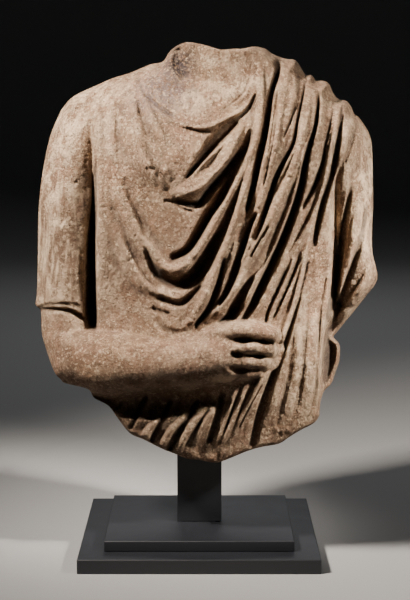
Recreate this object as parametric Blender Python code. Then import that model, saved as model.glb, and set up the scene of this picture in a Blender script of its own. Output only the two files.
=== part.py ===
"""Draped male torso in stone, held up by a modern post on two stepped plates.

The stone is worked the way a carver works a block: its front is drawn on an upright sheet, each mark
on the drawing says how far the surface stands proud, and the marks are carried into the block along
the sight lines of somebody who stands in front of it. The back is cut the same way from behind, and
the two meet at the outline.
"""
import bpy
import bmesh
import numpy as np

# Driving dimensions, in metres
TORSO_HEIGHT = 0.614
LOWER_PLATE_WIDTH = 0.340
LOWER_PLATE_DEPTH = 0.3086
LOWER_PLATE_THICKNESS = 0.0208
UPPER_PLATE_INSET = 0.0357
UPPER_PLATE_THICKNESS = 0.0152
PLATE_CHAMFER = 0.0008
POST_WIDTH = 0.065
POST_DEPTH = 0.048
POST_HEIGHT = 0.1335
POST_CHAMFER = 0.0006
SOCKET_GAP = 0.0003
SEAT_GAP = 0.0003

# Net that the stone's skin is worked out on, in drawing millimetres, and its final fineness
COLUMN_STEP = 2.6
ROW_STEP = 3.2
SKIN_TRIANGLES = 9300

# The drawing: millimetres on an upright sheet through the middle of the stone, for a stone drawn
# 614 mm tall. u runs to the right, w runs up from the floor, and the sheet is seen from the eye.
DRAWN_HEIGHT = 614.0
EYE_U = 8.2
EYE_W = 670.3
EYE_AWAY = 2117.1
SOCKET_ROOF_W = 169.0

LEFT_SIDE = [(-203, 243), (-212, 253), (-221, 277), (-230, 310), (-231, 335), (-232, 347), (-239, 355),
             (-237, 369), (-234.5, 422), (-233, 480), (-229, 526), (-221, 571), (-212, 605), (-198, 636)]
RIGHT_SIDE = [(177, 189), (178, 208), (180, 217), (184, 227), (194, 238), (200, 256), (205, 271),
              (206, 289), (203, 299), (196, 307), (201, 314), (216, 333), (228, 348), (245, 370), (256, 385),
              (259, 397), (256, 413), (251, 432), (250, 466), (251, 504), (250, 538), (248, 585), (244, 602),
              (238, 613), (228, 627)]
TOP_EDGE = [(-198, 636), (-181, 655), (-148, 671), (-122, 682), (-99, 689), (-70, 701), (-52, 705),
            (-42, 719), (-30, 728), (-16, 732), (5, 729), (30, 722), (49, 723), (62, 723), (78, 726),
            (94, 723), (104, 716), (122, 709), (134, 708), (141, 703), (151, 687), (160, 686), (167, 678),
            (177, 678), (186, 673), (191, 661), (199, 652), (209, 650), (217, 642), (221, 632), (228, 627)]
BOTTOM_EDGE = [(-203, 243), (-197, 238), (-164, 229), (-155, 216), (-134, 204), (-121, 186), (-103, 163),
               (-82, 153), (-55, 139), (-35, 131), (-18, 124), (1, 122), (22, 118), (36, 121), (72, 136),
               (93, 142), (118, 147), (133, 157), (149, 167), (169, 178), (177, 189)]

# Stations round the outline: u, w, how far behind the sheet the rim lies, and over how many
# millimetres the front and the back round over to it. A broken edge rounds over in a few millimetres.
RIM = [(-190, 645, 5, 60, 60), (-225, 560, 0, 50, 55), (-233, 470, -5, 42, 50), (-237, 370, -15, 40, 50),
       (-225, 290, -35, 40, 50), (-203, 243, -55, 32, 60), (-165, 228, -75, 16, 60), (-115, 175, -72, 6, 60),
       (-60, 141, -84, 5, 60), (20, 118, -88, 5, 60), (95, 143, -86, 5, 60), (150, 168, -80, 5, 60),
       (178, 205, -40, 6, 50), (190, 232, -14, 7, 45), (203, 262, 8, 9, 40), (196, 307, 0, 8, 40), (228, 348, -12, 16, 40),
       (257, 396, -20, 16, 45), (250, 500, 0, 45, 55), (245, 600, 0, 50, 60), (215, 640, 0, 34, 50),
       (170, 678, 0, 34, 50), (130, 708, 5, 30, 45), (95, 722, 0, 14, 40), (60, 723, -38, 5, 30),
       (20, 725, -46, 4, 30), (-25, 728, -40, 6, 30), (-45, 712, -22, 10, 30), (-70, 701, -5, 40, 45),
       (-120, 682, 0, 55, 55)]

# How proud the trunk stands in front and behind, up its height
TRUNK_FRONT = [(100, 90), (140, 98), (200, 109), (260, 111), (330, 107), (400, 104), (460, 106), (520, 113),
               (565, 117), (605, 109), (645, 89), (685, 65), (735, 50)]
TRUNK_BACK = [(100, 72), (160, 86), (240, 98), (320, 95), (400, 88), (480, 94), (560, 105), (620, 100),
              (670, 78), (700, 62), (735, 52)]

# The trunk's section, how far to each side it reaches, and the soft forms that lie on it
TRUNK_SQUARENESS = 2.6
TRUNK_MIDDLE = 30.0
TRUNK_HALF = 236.0
BACK_MIDDLE = 25.0
BACK_HALF = 205.0
CHEST = ((-62, 585), (62, 60), 8)
BELLY = ((5, 420), (80, 90), 7)
BUNDLE = ([(150, 650), (120, 560), (80, 440), (30, 330)], (70, 55), (70, 55), (11, 11))
UNDERCUT = ([(-170, 232), (-110, 208), (-30, 205), (45, 222)], (30, 30), (24, 22), (22, 26, 26, 12))
LEAST_BEHIND = 22.0
LEAST_THICKNESS = 6.0

# The net: the length of half a row, of the straight part of a column and of its bent ends, and how
# wide the strip is beside the rim where the lines close in, with how many lines
HALF_ROW = 215.0
STRAIGHT_ROWS = 415.0
BENDING_ROWS = 95.0
CLOSE_TO_RIM = (5.0, 7)

# Rolls: broad bundles of cloth. Ridges: single folds. Each is a short path down the drawing with its
# width to the right of the walker, to the left, and how proud it stands, along its length.
ROLLS = [
    ([(64, 622), (24, 549), (-31, 518), (-50, 522)], (9, 12, 9), (6, 7, 4)),
    ([(70, 570), (24, 476), (-28, 410), (-60, 415), (-100, 490)], (9, 12, 14, 16), (6, 9, 9, 2)),
    ([(82, 570), (38, 435), (-10, 335), (-30, 305)], (9, 12, 9), (5, 8, 6)),
]
RIDGES = [
    ([(87, 707), (88, 650), (80, 594), (60, 535)], (6, 7, 5), (6, 8, 4)),
    ([(54, 624), (30, 588), (-8, 548)], (5, 5, 4), (4, 5, 3)),
    ([(64, 622), (38, 561), (11, 531), (-16, 516), (-45, 521)], (5, 6, 7), (4, 7, 4)),
    ([(67, 562), (30, 489), (-8, 422), (-28, 407), (-51, 412), (-72, 426)], (5, 6, 7, 7), (5, 7, 7, 3)),
    ([(80, 575), (44, 458), (8, 365), (-30, 306)], (5, 6, 6), (5, 8, 5)),
    ([(55, 452), (45, 417), (27, 359)], (4, 4, 3), (5, 6, 4)),
    ([(75, 414), (49, 373), (7, 328)], (5, 7, 7), (5, 7, 6)),
    ([(95, 414), (73, 372), (66, 345)], (4, 5, 4), (6, 7, 5)),
    ([(124, 700), (114, 624), (98, 540), (62, 420), (38, 372)], (6, 6, 6, 5), (4, 5, 8, 5)),
    ([(160, 676), (147, 592), (118, 512), (84, 444), (46, 372)], (6, 8, 9, 8), (4, 6, 9, 5)),
    ([(148, 568), (128, 484), (106, 425), (88, 398)], (5, 7, 6), (5, 8, 6)),
    ([(177, 676), (172, 610), (158, 530), (141, 490)], (6, 7, 4), (4, 6, 6)),
    ([(195, 656), (188, 570), (165, 492), (137, 434), (120, 410)], (5, 6, 7, 7), (5, 6, 8, 6)),
    ([(217, 636), (206, 572), (188, 506), (181, 475)], (6, 7, 7), (4, 6, 5)),
    ([(140, 434), (104, 384), (62, 326)], (6, 8, 6), (5, 8, 5)),
    ([(152, 440), (125, 382), (104, 326)], (4, 5, 4), (5, 6, 4)),
    ([(160, 430), (141, 357), (102, 261), (66, 192), (30, 124)], (5, 6, 7, 6), (5, 8, 10, 8)),
    ([(70, 240), (45, 170), (28, 140)], (4, 5, 5), (6, 8, 6)),
    ([(50, 228), (33, 166), (20, 140)], (4, 5, 4), (5, 7, 5)),
    ([(-55, 184), (-72, 172), (-84, 153)], (6, 8), (8, 12)),
    ([(-22, 188), (-41, 169), (-57, 142)], (5, 7), (8, 12)),
    ([(12, 206), (-20, 160), (-34, 132)], (5, 7, 7), (7, 11, 9)),
    ([(22, 206), (0, 164), (-8, 146)], (4, 5, 4), (6, 10, 7)),
]

# Hollows: the same, but with both widths, and how deep they are cut
HOLLOWS = [
    ([(-92, 690), (-62, 644), (-36, 626)], (3, 3), (3, 4), (3, 4)),
    ([(-36, 624), (-8, 612), (40, 620), (78, 656), (86, 682)], (2, 2, 2), (5, 12, 4), (2, 9, 4)),
    ([(114, 712), (104, 661), (94, 600), (78, 527), (68, 490)], (3, 4, 4.5, 3), (4, 5, 5, 4), (10, 20, 22, 14)),
    ([(83, 490), (59, 426), (42, 390)], (3, 4, 3), (3, 5, 3), (10, 16, 10)),
    ([(55, 620), (22, 590), (-22, 537)], (3, 5, 3), (4, 7, 4), (6, 13, 9)),
    ([(76, 616), (43, 559), (8, 516), (-14, 504), (-50, 510)], (4, 8, 6, 3), (4, 7, 5, 3), (6, 14, 14, 5)),
    ([(58, 580), (32, 512), (-2, 456), (-18, 434), (-42, 423)], (4, 6, 6, 6), (4, 7, 6, 4), (5, 13, 15, 13)),
    ([(34, 468), (4, 417), (-12, 396), (-35, 388), (-66, 410)], (4, 8, 8, 3), (5, 10, 8, 3), (9, 17, 16, 5)),
    ([(36, 424), (14, 350), (-8, 322)], (3, 4, 3), (3, 4, 3), (9, 13, 9)),
    ([(60, 420), (49, 395), (28, 354)], (3, 5, 3), (4, 6, 4), (10, 14, 10)),
    ([(80, 398), (56, 354), (28, 327)], (4, 6, 5), (4, 9, 5), (8, 20, 12)),
    ([(171, 664), (158, 584), (146, 530), (122, 456), (90, 384), (60, 326)], (4, 6, 8, 9, 6), (4, 5, 7, 9, 8),
     (12, 28, 32, 32, 18)),
    ([(155, 684), (140, 614), (121, 558), (98, 495), (80, 446)], (2, 3, 4, 4), (2, 3, 6, 3), (7, 14, 18, 10)),
    ([(192, 636), (180, 570), (158, 512), (146, 492)], (2, 4, 4), (2, 5, 4), (5, 12, 14)),
    ([(205, 648), (194, 566), (174, 492), (166, 440)], (3, 6, 7, 5), (3, 6, 7, 5), (9, 17, 20, 18)),
    ([(138, 402), (112, 352), (100, 326)], (2, 2), (3, 3), (6, 8)),
    ([(150, 375), (128, 308), (104, 246), (82, 184), (72, 138)], (3, 8, 12, 12), (3, 4, 4, 4), (10, 18, 24, 20)),
    ([(33, 214), (24, 180), (12, 148)], (6, 7, 5), (5, 6, 5), (12, 13, 9)),
    ([(-40, 214), (-64, 166), (-72, 144)], (5, 5), (5, 5), (8, 9)),
    ([(0, 214), (-28, 168), (-46, 136)], (5, 5), (5, 5), (9, 10)),
    ([(219, 530), (201, 426), (183, 330)], (5, 10, 12), (3, 3, 2), (9, 20, 14)),
    ([(-149, 566), (-151, 530), (-155, 420), (-150, 318)], (3, 6, 6, 6), (3, 8, 15, 14), (8, 34, 44, 40)),
    ([(-240, 349), (-190, 346), (-158, 326)], (3, 5, 6), (3, 4, 5), (9, 13, 16)),
]

# Deep hollow behind the panel's crisp right edge, low down: the edge's height and place
PANEL_EDGE = [(180, 179), (220, 178), (265, 175), (320, 181), (376, 188), (400, 192)]
PANEL_WALL = 5.0
RECESS_PROUD = 14.0

# The sleeve ends in a hem that stands a little proud of the arm
HEM = [(-242, 350), (-239, 352), (-221, 357), (-200, 359), (-181, 358), (-173, 354), (-165, 346)]
HEM_PROUD = 4.5

# Folds of the mantle across the back: path, width and height
BACK_FOLD_COUNT = 11
BACK_FOLD_START = ((120, 700), (222, 450))
BACK_FOLD_END = ((-175, 600), (-5, 150))
BACK_FOLD_SAG = (14, -24)
BACK_FOLD_WIDTHS = (15, 10)
BACK_FOLD_HEIGHTS = (9, 6)

# Right forearm and hand, as round limbs: path, radii, and how proud the middle of the limb lies
UPPER_ARM = ([(-178, 610), (-186, 540), (-192, 440), (-195, 350), (-192, 285)], (50, 46, 44, 43, 42),
             (20, 20, 22, 30, 48))
FOREARM = ([(-200, 276), (-150, 270), (-100, 268), (-40, 268), (0, 272), (40, 280)], (44, 47, 46, 41, 42, 44),
           (62, 82, 96, 104, 108, 112))
VALLEY_PROUD = 36.0
COVERED_ARM = ([(205, 600), (225, 520), (232, 440), (228, 385)], (48, 36, 34, 34), (40, 40, 36, 30))
FINGERS = [([(22, 316), (52, 315), (90, 313), (111, 308)], (16, 9, 8.5, 8), (128, 146, 149, 141)),
           ([(34, 294), (62, 292), (90, 290), (105, 288)], (14, 9.5, 9.5, 8.5), (130, 142, 148, 141)),
           ([(34, 272), (62, 270), (85, 269), (97, 269)], (14, 9, 9, 8), (124, 135, 142, 136)),
           ([(40, 254), (62, 252), (77, 253), (85, 254)], (12, 7.5, 7, 5.5), (118, 126, 132, 128))]
FINGER_GAPS = [([(50, 304), (66, 303), (81, 302)], (3, 6, 3), (8, 18, 8)),
               ([(84, 301), (97, 299), (110, 298)], (2, 4.5, 2.5), (5, 14, 8)),
               ([(44, 282), (54, 281), (65, 280)], (3, 6, 3), (8, 16, 6)),
               ([(76, 281), (87, 279), (96, 279), (107, 280)], (3, 4.5, 2, 1.5), (6, 13, 7, 3)),
               ([(42, 261), (57, 259), (72, 259)], (4, 7, 4), (6, 14, 6)),
               ([(76, 261), (89, 260)], (2, 2), (4, 5))]

# How a limb's surface falls away past its width, and how softly the limbs join the body
LIMB_DROP = 250.0
ARM_BLEND = 14.0
FOREARM_BLEND = 7.0
COVERED_BLEND = 9.0
UPPER_ARM_BEHIND = (2, 0, 0, -4, -20)
COVERED_ARM_BEHIND = (4, 4, 4, 4)
HOLLOW_POWER = 0.8
PALM_CENTRE = (18, 284)
PALM_SIZE = (56, 42)
PALM_PROUD = 148.0
PALM_BLEND = 8.0
FINGER_BLEND = 2.0


def smooth_line(points, steps=8):
    """A smooth curve through hand-placed points: each span is a cubic that leaves one point and
    reaches the next in the direction of that point's two neighbours."""
    p = np.asarray(points, float)
    q = np.vstack([2 * p[0] - p[1], p, 2 * p[-1] - p[-2]])
    t = np.linspace(0, 1, steps, endpoint=False)[:, None]
    spans = [0.5 * (2 * b + (c - a) * t + (2 * a - 5 * b + 4 * c - d) * t ** 2
                    + (3 * b - a - 3 * c + d) * t ** 3)
             for a, b, c, d in zip(q[:-3], q[1:-2], q[2:-1], q[3:])]
    return np.vstack(spans + [p[-1:]])


def stations(where, values):
    """A value that changes smoothly along a path, given at evenly spaced stations."""
    x = np.linspace(0, 1, len(values))
    curve = smooth_line(np.stack([x, values], 1))
    return np.interp(where, curve[:, 0], curve[:, 1])


def at_height(w, table):
    """A value that changes smoothly with height, from a table of heights and values."""
    curve = smooth_line(table)
    return np.interp(w, curve[:, 0], curve[:, 1])


def nearest_on(u, w, line, reach):
    """How far each place is from a path, positive on the walker's left, and how far along the path
    its nearest point lies, from 0 to 1. Places beyond reach are given twice the reach."""
    apart = np.full(u.shape, 2.0 * reach)
    along = np.zeros(u.shape)
    low, high = line.min(0) - reach, line.max(0) + reach
    near = (u > low[0]) & (u < high[0]) & (w > low[1]) & (w < high[1])
    pu, pw = u[near], w[near]
    run = np.diff(line, axis=0)
    length = np.hypot(run[:, 0], run[:, 1])
    start = np.concatenate([[0], np.cumsum(length)])
    best = np.full(pu.shape, 2.0 * reach)
    side = np.ones(pu.shape)
    place = np.zeros(pu.shape)
    for k in range(len(run)):
        du, dw = pu - line[k, 0], pw - line[k, 1]
        t = np.clip((du * run[k, 0] + dw * run[k, 1]) / length[k] ** 2, 0, 1)
        d = np.hypot(du - t * run[k, 0], dw - t * run[k, 1])
        closer = d < best
        best = np.where(closer, d, best)
        side = np.where(closer, np.where(run[k, 0] * dw > run[k, 1] * du, 1.0, -1.0), side)
        place = np.where(closer, (start[k] + t * length[k]) / start[-1], place)
    apart[near] = best * side
    along[near] = place
    return apart, along


def ramp(x, low, high):
    """0 below low, 1 above high, and a smooth S between."""
    t = np.clip((x - low) / (high - low), 0, 1)
    return t * t * (3 - 2 * t)


def merged(a, b, blend):
    """The prouder of two surfaces, rounded into each other where they are within blend."""
    h = np.clip(0.5 + 0.5 * (a - b) / blend, 0, 1)
    return b * (1 - h) + a * h + blend * h * (1 - h)


def mark(u, w, points, left, right, size, power=0.7, taper=0.14):
    """One carved line, as a height: full on the path, an arch across it, nothing past its widths,
    and running out over the taper at both ends. The arch is (1 - (apart / width) ** 2) ** power."""
    apart, along = nearest_on(u, w, smooth_line(points), max(left + right))
    wide = np.where(apart > 0, stations(along, left), stations(along, right))
    arch = np.clip(1 - (apart / np.maximum(wide, 0.1)) ** 2, 0, 1) ** power
    ends = np.sqrt(np.clip(along / taper, 0, 1) * np.clip((1 - along) / taper, 0, 1))
    return arch * ends * stations(along, size)


def limb(u, w, points, radii, axis):
    """A round limb: a half circle across its path, whose middle is as proud as axis says."""
    apart, along = nearest_on(u, w, smooth_line(points), 150.0)
    r = stations(along, radii)
    q = 1 - (apart / r) ** 2
    return stations(along, axis) + np.where(q > 0, r * np.sqrt(np.abs(q)), np.maximum(1.5 * q * r, -LIMB_DROP))


def swell(u, w, centre, size, proud):
    """A soft bulge that fades all round."""
    return proud * np.exp(-((u - centre[0]) / size[0]) ** 2 - ((w - centre[1]) / size[1]) ** 2)


def across_trunk(u, middle, half):
    """The trunk's rounded section: 1 in the middle and 0 at the sides, (1 - across ** 2.6) ** 0.5."""
    across = np.clip(np.abs(u - middle) / half, 0, 1)
    return (1 - across ** TRUNK_SQUARENESS) ** 0.5


def bare_front(u, w):
    """The front before any carving: trunk, upper arm, forearm and the arm under the mantle."""
    trunk = at_height(w, TRUNK_FRONT) * across_trunk(u, TRUNK_MIDDLE, TRUNK_HALF)
    trunk += swell(u, w, *CHEST) + swell(u, w, *BELLY)
    trunk += mark(u, w, *BUNDLE, 1.5) - mark(u, w, *UNDERCUT, 1.2)
    beside_arm = (1 - ramp(u, -166, -150)) * (1 - ramp(w, 555, 625))
    body = merged(trunk - LIMB_DROP * beside_arm, limb(u, w, *UPPER_ARM), ARM_BLEND)
    body = merged(body, limb(u, w, *FOREARM), FOREARM_BLEND)
    outside = ramp(u, 186, 202) * ramp(600 - w, 0, 130)
    body = body * (1 - outside) + VALLEY_PROUD * outside
    return merged(body, limb(u, w, *COVERED_ARM), COVERED_BLEND)


def drapery(u, w):
    """The carved cloth as a height over the bare front: rolls, ridges on them, hollows cut between."""
    rolls, ridges, hollows = np.zeros(u.shape), np.zeros(u.shape), np.zeros(u.shape)
    for points, width, size in ROLLS:
        rolls = np.maximum(rolls, mark(u, w, points, width, width, size, 1.0))
    for points, width, size in RIDGES:
        ridges = np.maximum(ridges, mark(u, w, points, width, width, size))
    for points, left, right, depth in HOLLOWS:
        hollows = np.maximum(hollows, mark(u, w, points, left, right, depth, HOLLOW_POWER, 0.1))
    return rolls + ridges * np.clip(1 - hollows / 8, 0, 1) - hollows


def cloth_shows(u, w):
    """1 on open cloth, 0 where the forearm and the hand lie over it."""
    arm = limb(u, w, FOREARM[0], (41, 46, 45, 41, 45, 46), (0, 0))
    fist = limb(u, w, [(20, 284), (60, 284), (96, 284)], (44, 36, 30), (0, 0))
    return 1 - ramp(np.maximum(arm, fist), 0, 9)


def rim_values(u, w):
    """Rim depth and front and back roundings near each place: the stations' values, weighed by
    nearness."""
    weight = [((u - s[0]) ** 2 + (w - s[1]) ** 2 + 60.0) ** -2 for s in RIM]
    total = sum(weight)
    return [sum(k * s[i] for k, s in zip(weight, RIM)) / total for i in (2, 3, 4)]


def rim_distance(u, w):
    """How far inside the outline each place lies."""
    line = np.vstack([smooth_line(TOP_EDGE), smooth_line(RIGHT_SIDE)[::-1][1:],
                      smooth_line(BOTTOM_EDGE)[::-1][1:], smooth_line(LEFT_SIDE)[1:]])
    return np.abs(nearest_on(u, w, line, 80.0)[0])


def rounding(inside, radius):
    """A quarter circle: 0 at the rim, 1 from radius inwards."""
    return np.sqrt(np.clip(1 - (1 - np.clip(inside / radius, 0, 1)) ** 2, 0, 1))


def with_hand(u, w, proud):
    """The surface with the palm's dome and the four fingers laid on it, and the gaps cut."""
    inside = 1 - ((u - PALM_CENTRE[0]) / PALM_SIZE[0]) ** 2 - ((w - PALM_CENTRE[1]) / PALM_SIZE[1]) ** 2
    proud = merged(proud, PALM_PROUD * np.sqrt(np.clip(inside, 0, 1)), PALM_BLEND)
    for finger in FINGERS:
        proud = merged(proud, limb(u, w, *finger), FINGER_BLEND)
    for points, width, depth in FINGER_GAPS:
        proud = proud - mark(u, w, points, width, width, depth)
    return proud


def front_depth(u, w):
    """How far behind the sheet the front surface lies, so proud parts are negative."""
    rim, front_round, _ = rim_values(u, w)
    inside = rim_distance(u, w)
    proud = bare_front(u, w) + drapery(u, w) * cloth_shows(u, w) * ramp(inside, 0, 5)
    hem = np.interp(u, *np.transpose(HEM))
    proud += HEM_PROUD * ramp(w - hem, -2.0, 1.0) * (1 - ramp(w - hem, 20, 110)) * (1 - ramp(u, -176, -168))
    proud = with_hand(u, w, proud)
    edge = smooth_line(PANEL_EDGE)
    past_edge = u - np.interp(w, edge[:, 0], edge[:, 1])
    wall = 1 - np.exp(-np.clip(past_edge, 0, None) / PANEL_WALL)
    recess = wall * ramp(w, 192, 240) * ramp(345 - w, 0, 30)
    proud = np.maximum(proud * (1 - recess) + recess * RECESS_PROUD, RECESS_PROUD - 4)
    return rim - (proud + rim) * rounding(inside, front_round)


def back_folds():
    """The mantle's folds across the back: path, width and height. They fan out evenly from one shoulder
    to the other side, sag a little on the way, and every second one is smaller."""
    folds = []
    for k, fan in enumerate(np.linspace(0, 1, BACK_FOLD_COUNT)):
        start = (1 - fan) * np.array(BACK_FOLD_START[0]) + fan * np.array(BACK_FOLD_START[1])
        end = (1 - fan) * np.array(BACK_FOLD_END[0]) + fan * np.array(BACK_FOLD_END[1])
        sag = np.array(BACK_FOLD_SAG)
        path = [start, start + (end - start) / 3 + sag, start + (end - start) * 2 / 3 + sag, end]
        wide, high = BACK_FOLD_WIDTHS[k % 2], BACK_FOLD_HEIGHTS[k % 2]
        folds.append((path, (wide * 0.7, wide, wide * 1.1), (high * 0.7, high, high * 0.8)))
    return folds


def back_depth(u, w):
    """How far behind the sheet the back surface lies."""
    rim, _, back_round = rim_values(u, w)
    behind = at_height(w, TRUNK_BACK) * across_trunk(u, BACK_MIDDLE, BACK_HALF)
    folds = np.zeros(u.shape)
    for points, width, size in back_folds():
        folds = np.maximum(folds, mark(u, w, points, width, width, size, 0.8, 0.3))
    behind = behind + folds
    behind = merged(behind, limb(u, w, UPPER_ARM[0], UPPER_ARM[1], UPPER_ARM_BEHIND), COVERED_BLEND)
    behind = merged(behind, limb(u, w, COVERED_ARM[0], COVERED_ARM[1], COVERED_ARM_BEHIND), COVERED_BLEND)
    return rim + (np.maximum(behind, LEAST_BEHIND) - rim) * rounding(rim_distance(u, w), back_round)


def closing_in(length, step, margin, count):
    """Stations from 0 to 1 over a length, evenly spaced, but ever closer within margin of the far end."""
    even = np.linspace(0, length - margin, int(length / step), endpoint=False)
    return np.concatenate([even, length - margin * (np.arange(count + 1)[::-1] / count) ** 2]) / length


def drawing_net(column_step, row_step):
    """The net of places on the sheet: straight rows between the two sides, and above and below them
    rows that bend towards the top and bottom edges."""
    left, right = smooth_line(LEFT_SIDE), smooth_line(RIGHT_SIDE)
    top, bottom = smooth_line(TOP_EDGE), smooth_line(BOTTOM_EDGE)
    half = closing_in(HALF_ROW, column_step, *CLOSE_TO_RIM)
    across = np.concatenate([0.5 - 0.5 * half[::-1], 0.5 + 0.5 * half[1:]])
    t = np.linspace(0, 1, int(STRAIGHT_ROWS / row_step))
    wl = left[0, 1] + (left[-1, 1] - left[0, 1]) * t
    wr = right[0, 1] + (right[-1, 1] - right[0, 1]) * t
    ul, ur = np.interp(wl, left[:, 1], left[:, 0]), np.interp(wr, right[:, 1], right[:, 0])
    u = ul[:, None] + (ur - ul)[:, None] * across
    w = wl[:, None] + (wr - wl)[:, None] * across
    up = closing_in(BENDING_ROWS, row_step, *CLOSE_TO_RIM)[1:, None]
    above = w[-1] + (np.interp(u[-1], top[:, 0], top[:, 1]) - w[-1]) * up
    below = w[0] + (np.interp(u[0], bottom[:, 0], bottom[:, 1]) - w[0]) * up[::-1]
    u = np.vstack([np.repeat(u[:1], len(up), 0), u, np.repeat(u[-1:], len(up), 0)])
    return u, np.vstack([below, w, above])


def into_block(u, w, depth):
    """From the sheet along the eye's sight line to a depth, in drawing millimetres."""
    reach = 1 + depth / EYE_AWAY
    return np.stack([EYE_U + (u - EYE_U) * reach, depth, EYE_W + (w - EYE_W) * reach], -1)


def skin(column_step, row_step):
    """Points and four-sided faces of the closed skin: a front and a back net sewn at the outline."""
    u, w = drawing_net(column_step, row_step)
    sewn = np.zeros(u.shape, bool)
    sewn[0] = sewn[-1] = sewn[:, 0] = sewn[:, -1] = True
    rim = rim_values(u, w)[0]
    front = np.where(sewn, rim, front_depth(u, w))
    back = np.maximum(back_depth(u, w), front + np.minimum(LEAST_THICKNESS, rim_distance(u, w)))
    points = np.vstack([into_block(u, w, front).reshape(-1, 3), into_block(u, w, back)[~sewn]])
    front_index = np.arange(u.size).reshape(u.shape)
    back_index = front_index.copy()
    back_index[~sewn] = u.size + np.arange((~sewn).sum())

    def squares(index):
        corners = [index[:-1, :-1], index[:-1, 1:], index[1:, 1:], index[1:, :-1]]
        return np.stack(corners, -1).reshape(-1, 4)

    return points, np.vstack([squares(front_index), squares(back_index)[:, ::-1]])


def material(name, colour, roughness, metallic=0.0):
    """A plain surface colour."""
    made = bpy.data.materials.new(name)
    made.use_nodes = True
    shader = made.node_tree.nodes["Principled BSDF"]
    shader.inputs["Base Color"].default_value = (*colour, 1.0)
    shader.inputs["Roughness"].default_value = roughness
    shader.inputs["Metallic"].default_value = metallic
    return made


def add_object(name, mesh, location=(0, 0, 0), look=None):
    """Put a mesh in the scene under its own name."""
    item = bpy.data.objects.new(name, mesh)
    item.location = location
    bpy.context.collection.objects.link(item)
    if look is not None:
        mesh.materials.append(look)
    return item


def block(name, size, low_z, look=None, chamfer=0.0):
    """A rectangular block centred over the origin, its underside at low_z."""
    bm = bmesh.new()
    bmesh.ops.create_cube(bm, size=1.0)
    bmesh.ops.scale(bm, vec=size, verts=bm.verts)
    mesh = bpy.data.meshes.new(name)
    bm.to_mesh(mesh)
    bm.free()
    item = add_object(name, mesh, (0, 0, low_z + size[2] / 2), look)
    if chamfer > 0:
        edge = item.modifiers.new("crisp_edges", "BEVEL")
        edge.width = chamfer
        edge.segments = 1
        edge.limit_method = "ANGLE"
    return item


def build_stand(paint):
    """Two stepped plates and the post on them. Returns the height of the post's top."""
    lower_size = (LOWER_PLATE_WIDTH, LOWER_PLATE_DEPTH, LOWER_PLATE_THICKNESS)
    block("stand_lower_plate", lower_size, 0.0, paint, PLATE_CHAMFER)
    upper_low = LOWER_PLATE_THICKNESS + SEAT_GAP
    upper_size = (LOWER_PLATE_WIDTH - 2 * UPPER_PLATE_INSET, LOWER_PLATE_DEPTH - 2 * UPPER_PLATE_INSET,
                  UPPER_PLATE_THICKNESS)
    block("stand_upper_plate", upper_size, upper_low, paint, PLATE_CHAMFER)
    post_low = upper_low + UPPER_PLATE_THICKNESS + SEAT_GAP
    block("stand_post", (POST_WIDTH, POST_DEPTH, POST_HEIGHT), post_low, paint, POST_CHAMFER)
    return post_low + POST_HEIGHT


def build_torso(stone, post_top):
    """The stone, its socket's roof resting just over the post."""
    scale = TORSO_HEIGHT / DRAWN_HEIGHT
    points, faces = skin(COLUMN_STEP, ROW_STEP)
    points = points * scale
    points[:, 2] += post_top + SEAT_GAP - SOCKET_ROOF_W * scale
    mesh = bpy.data.meshes.new("torso")
    mesh.from_pydata(points.tolist(), [], faces.tolist())
    bm = bmesh.new()
    bm.from_mesh(mesh)
    bmesh.ops.remove_doubles(bm, verts=bm.verts, dist=0.00002)
    bmesh.ops.dissolve_degenerate(bm, edges=bm.edges, dist=0.00002)
    bmesh.ops.triangulate(bm, faces=bm.faces)
    triangles = len(bm.faces)
    bm.to_mesh(mesh)
    bm.free()
    mesh.shade_smooth()
    torso = add_object("torso", mesh, look=stone)
    thin = torso.modifiers.new("fewer_facets", "DECIMATE")
    thin.ratio = SKIN_TRIANGLES / triangles
    roof = post_top + SEAT_GAP
    wide = (POST_WIDTH + 2 * SOCKET_GAP, POST_DEPTH + 2 * SOCKET_GAP, POST_HEIGHT)
    cutter = block("socket_cutter", wide, roof - POST_HEIGHT)
    cutter.hide_render = True
    cutter.display_type = "WIRE"
    socket = torso.modifiers.new("post_socket", "BOOLEAN")
    socket.operation = "DIFFERENCE"
    socket.object = cutter
    return torso


def main():
    for item in list(bpy.data.objects):
        bpy.data.objects.remove(item)
    stone = material("weathered_sandstone", (0.42, 0.31, 0.235), 0.85)
    paint = material("black_satin_paint", (0.012, 0.013, 0.016), 0.45)
    post_top = build_stand(paint)
    build_torso(stone, post_top)


main()
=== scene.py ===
# %% [markdown]
# # A draped stone torso on its stand
# This lesson dresses a finished model of a broken statue: a man's torso in a mantle, one forearm
# across the belly, held up by a black post on two stepped plates.
# The model's solids are already in place. The stone is made again here as a finer skin with its worn
# surface, and the stand's solids keep their shape and get paint.

# %% Load the frame
import math

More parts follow.
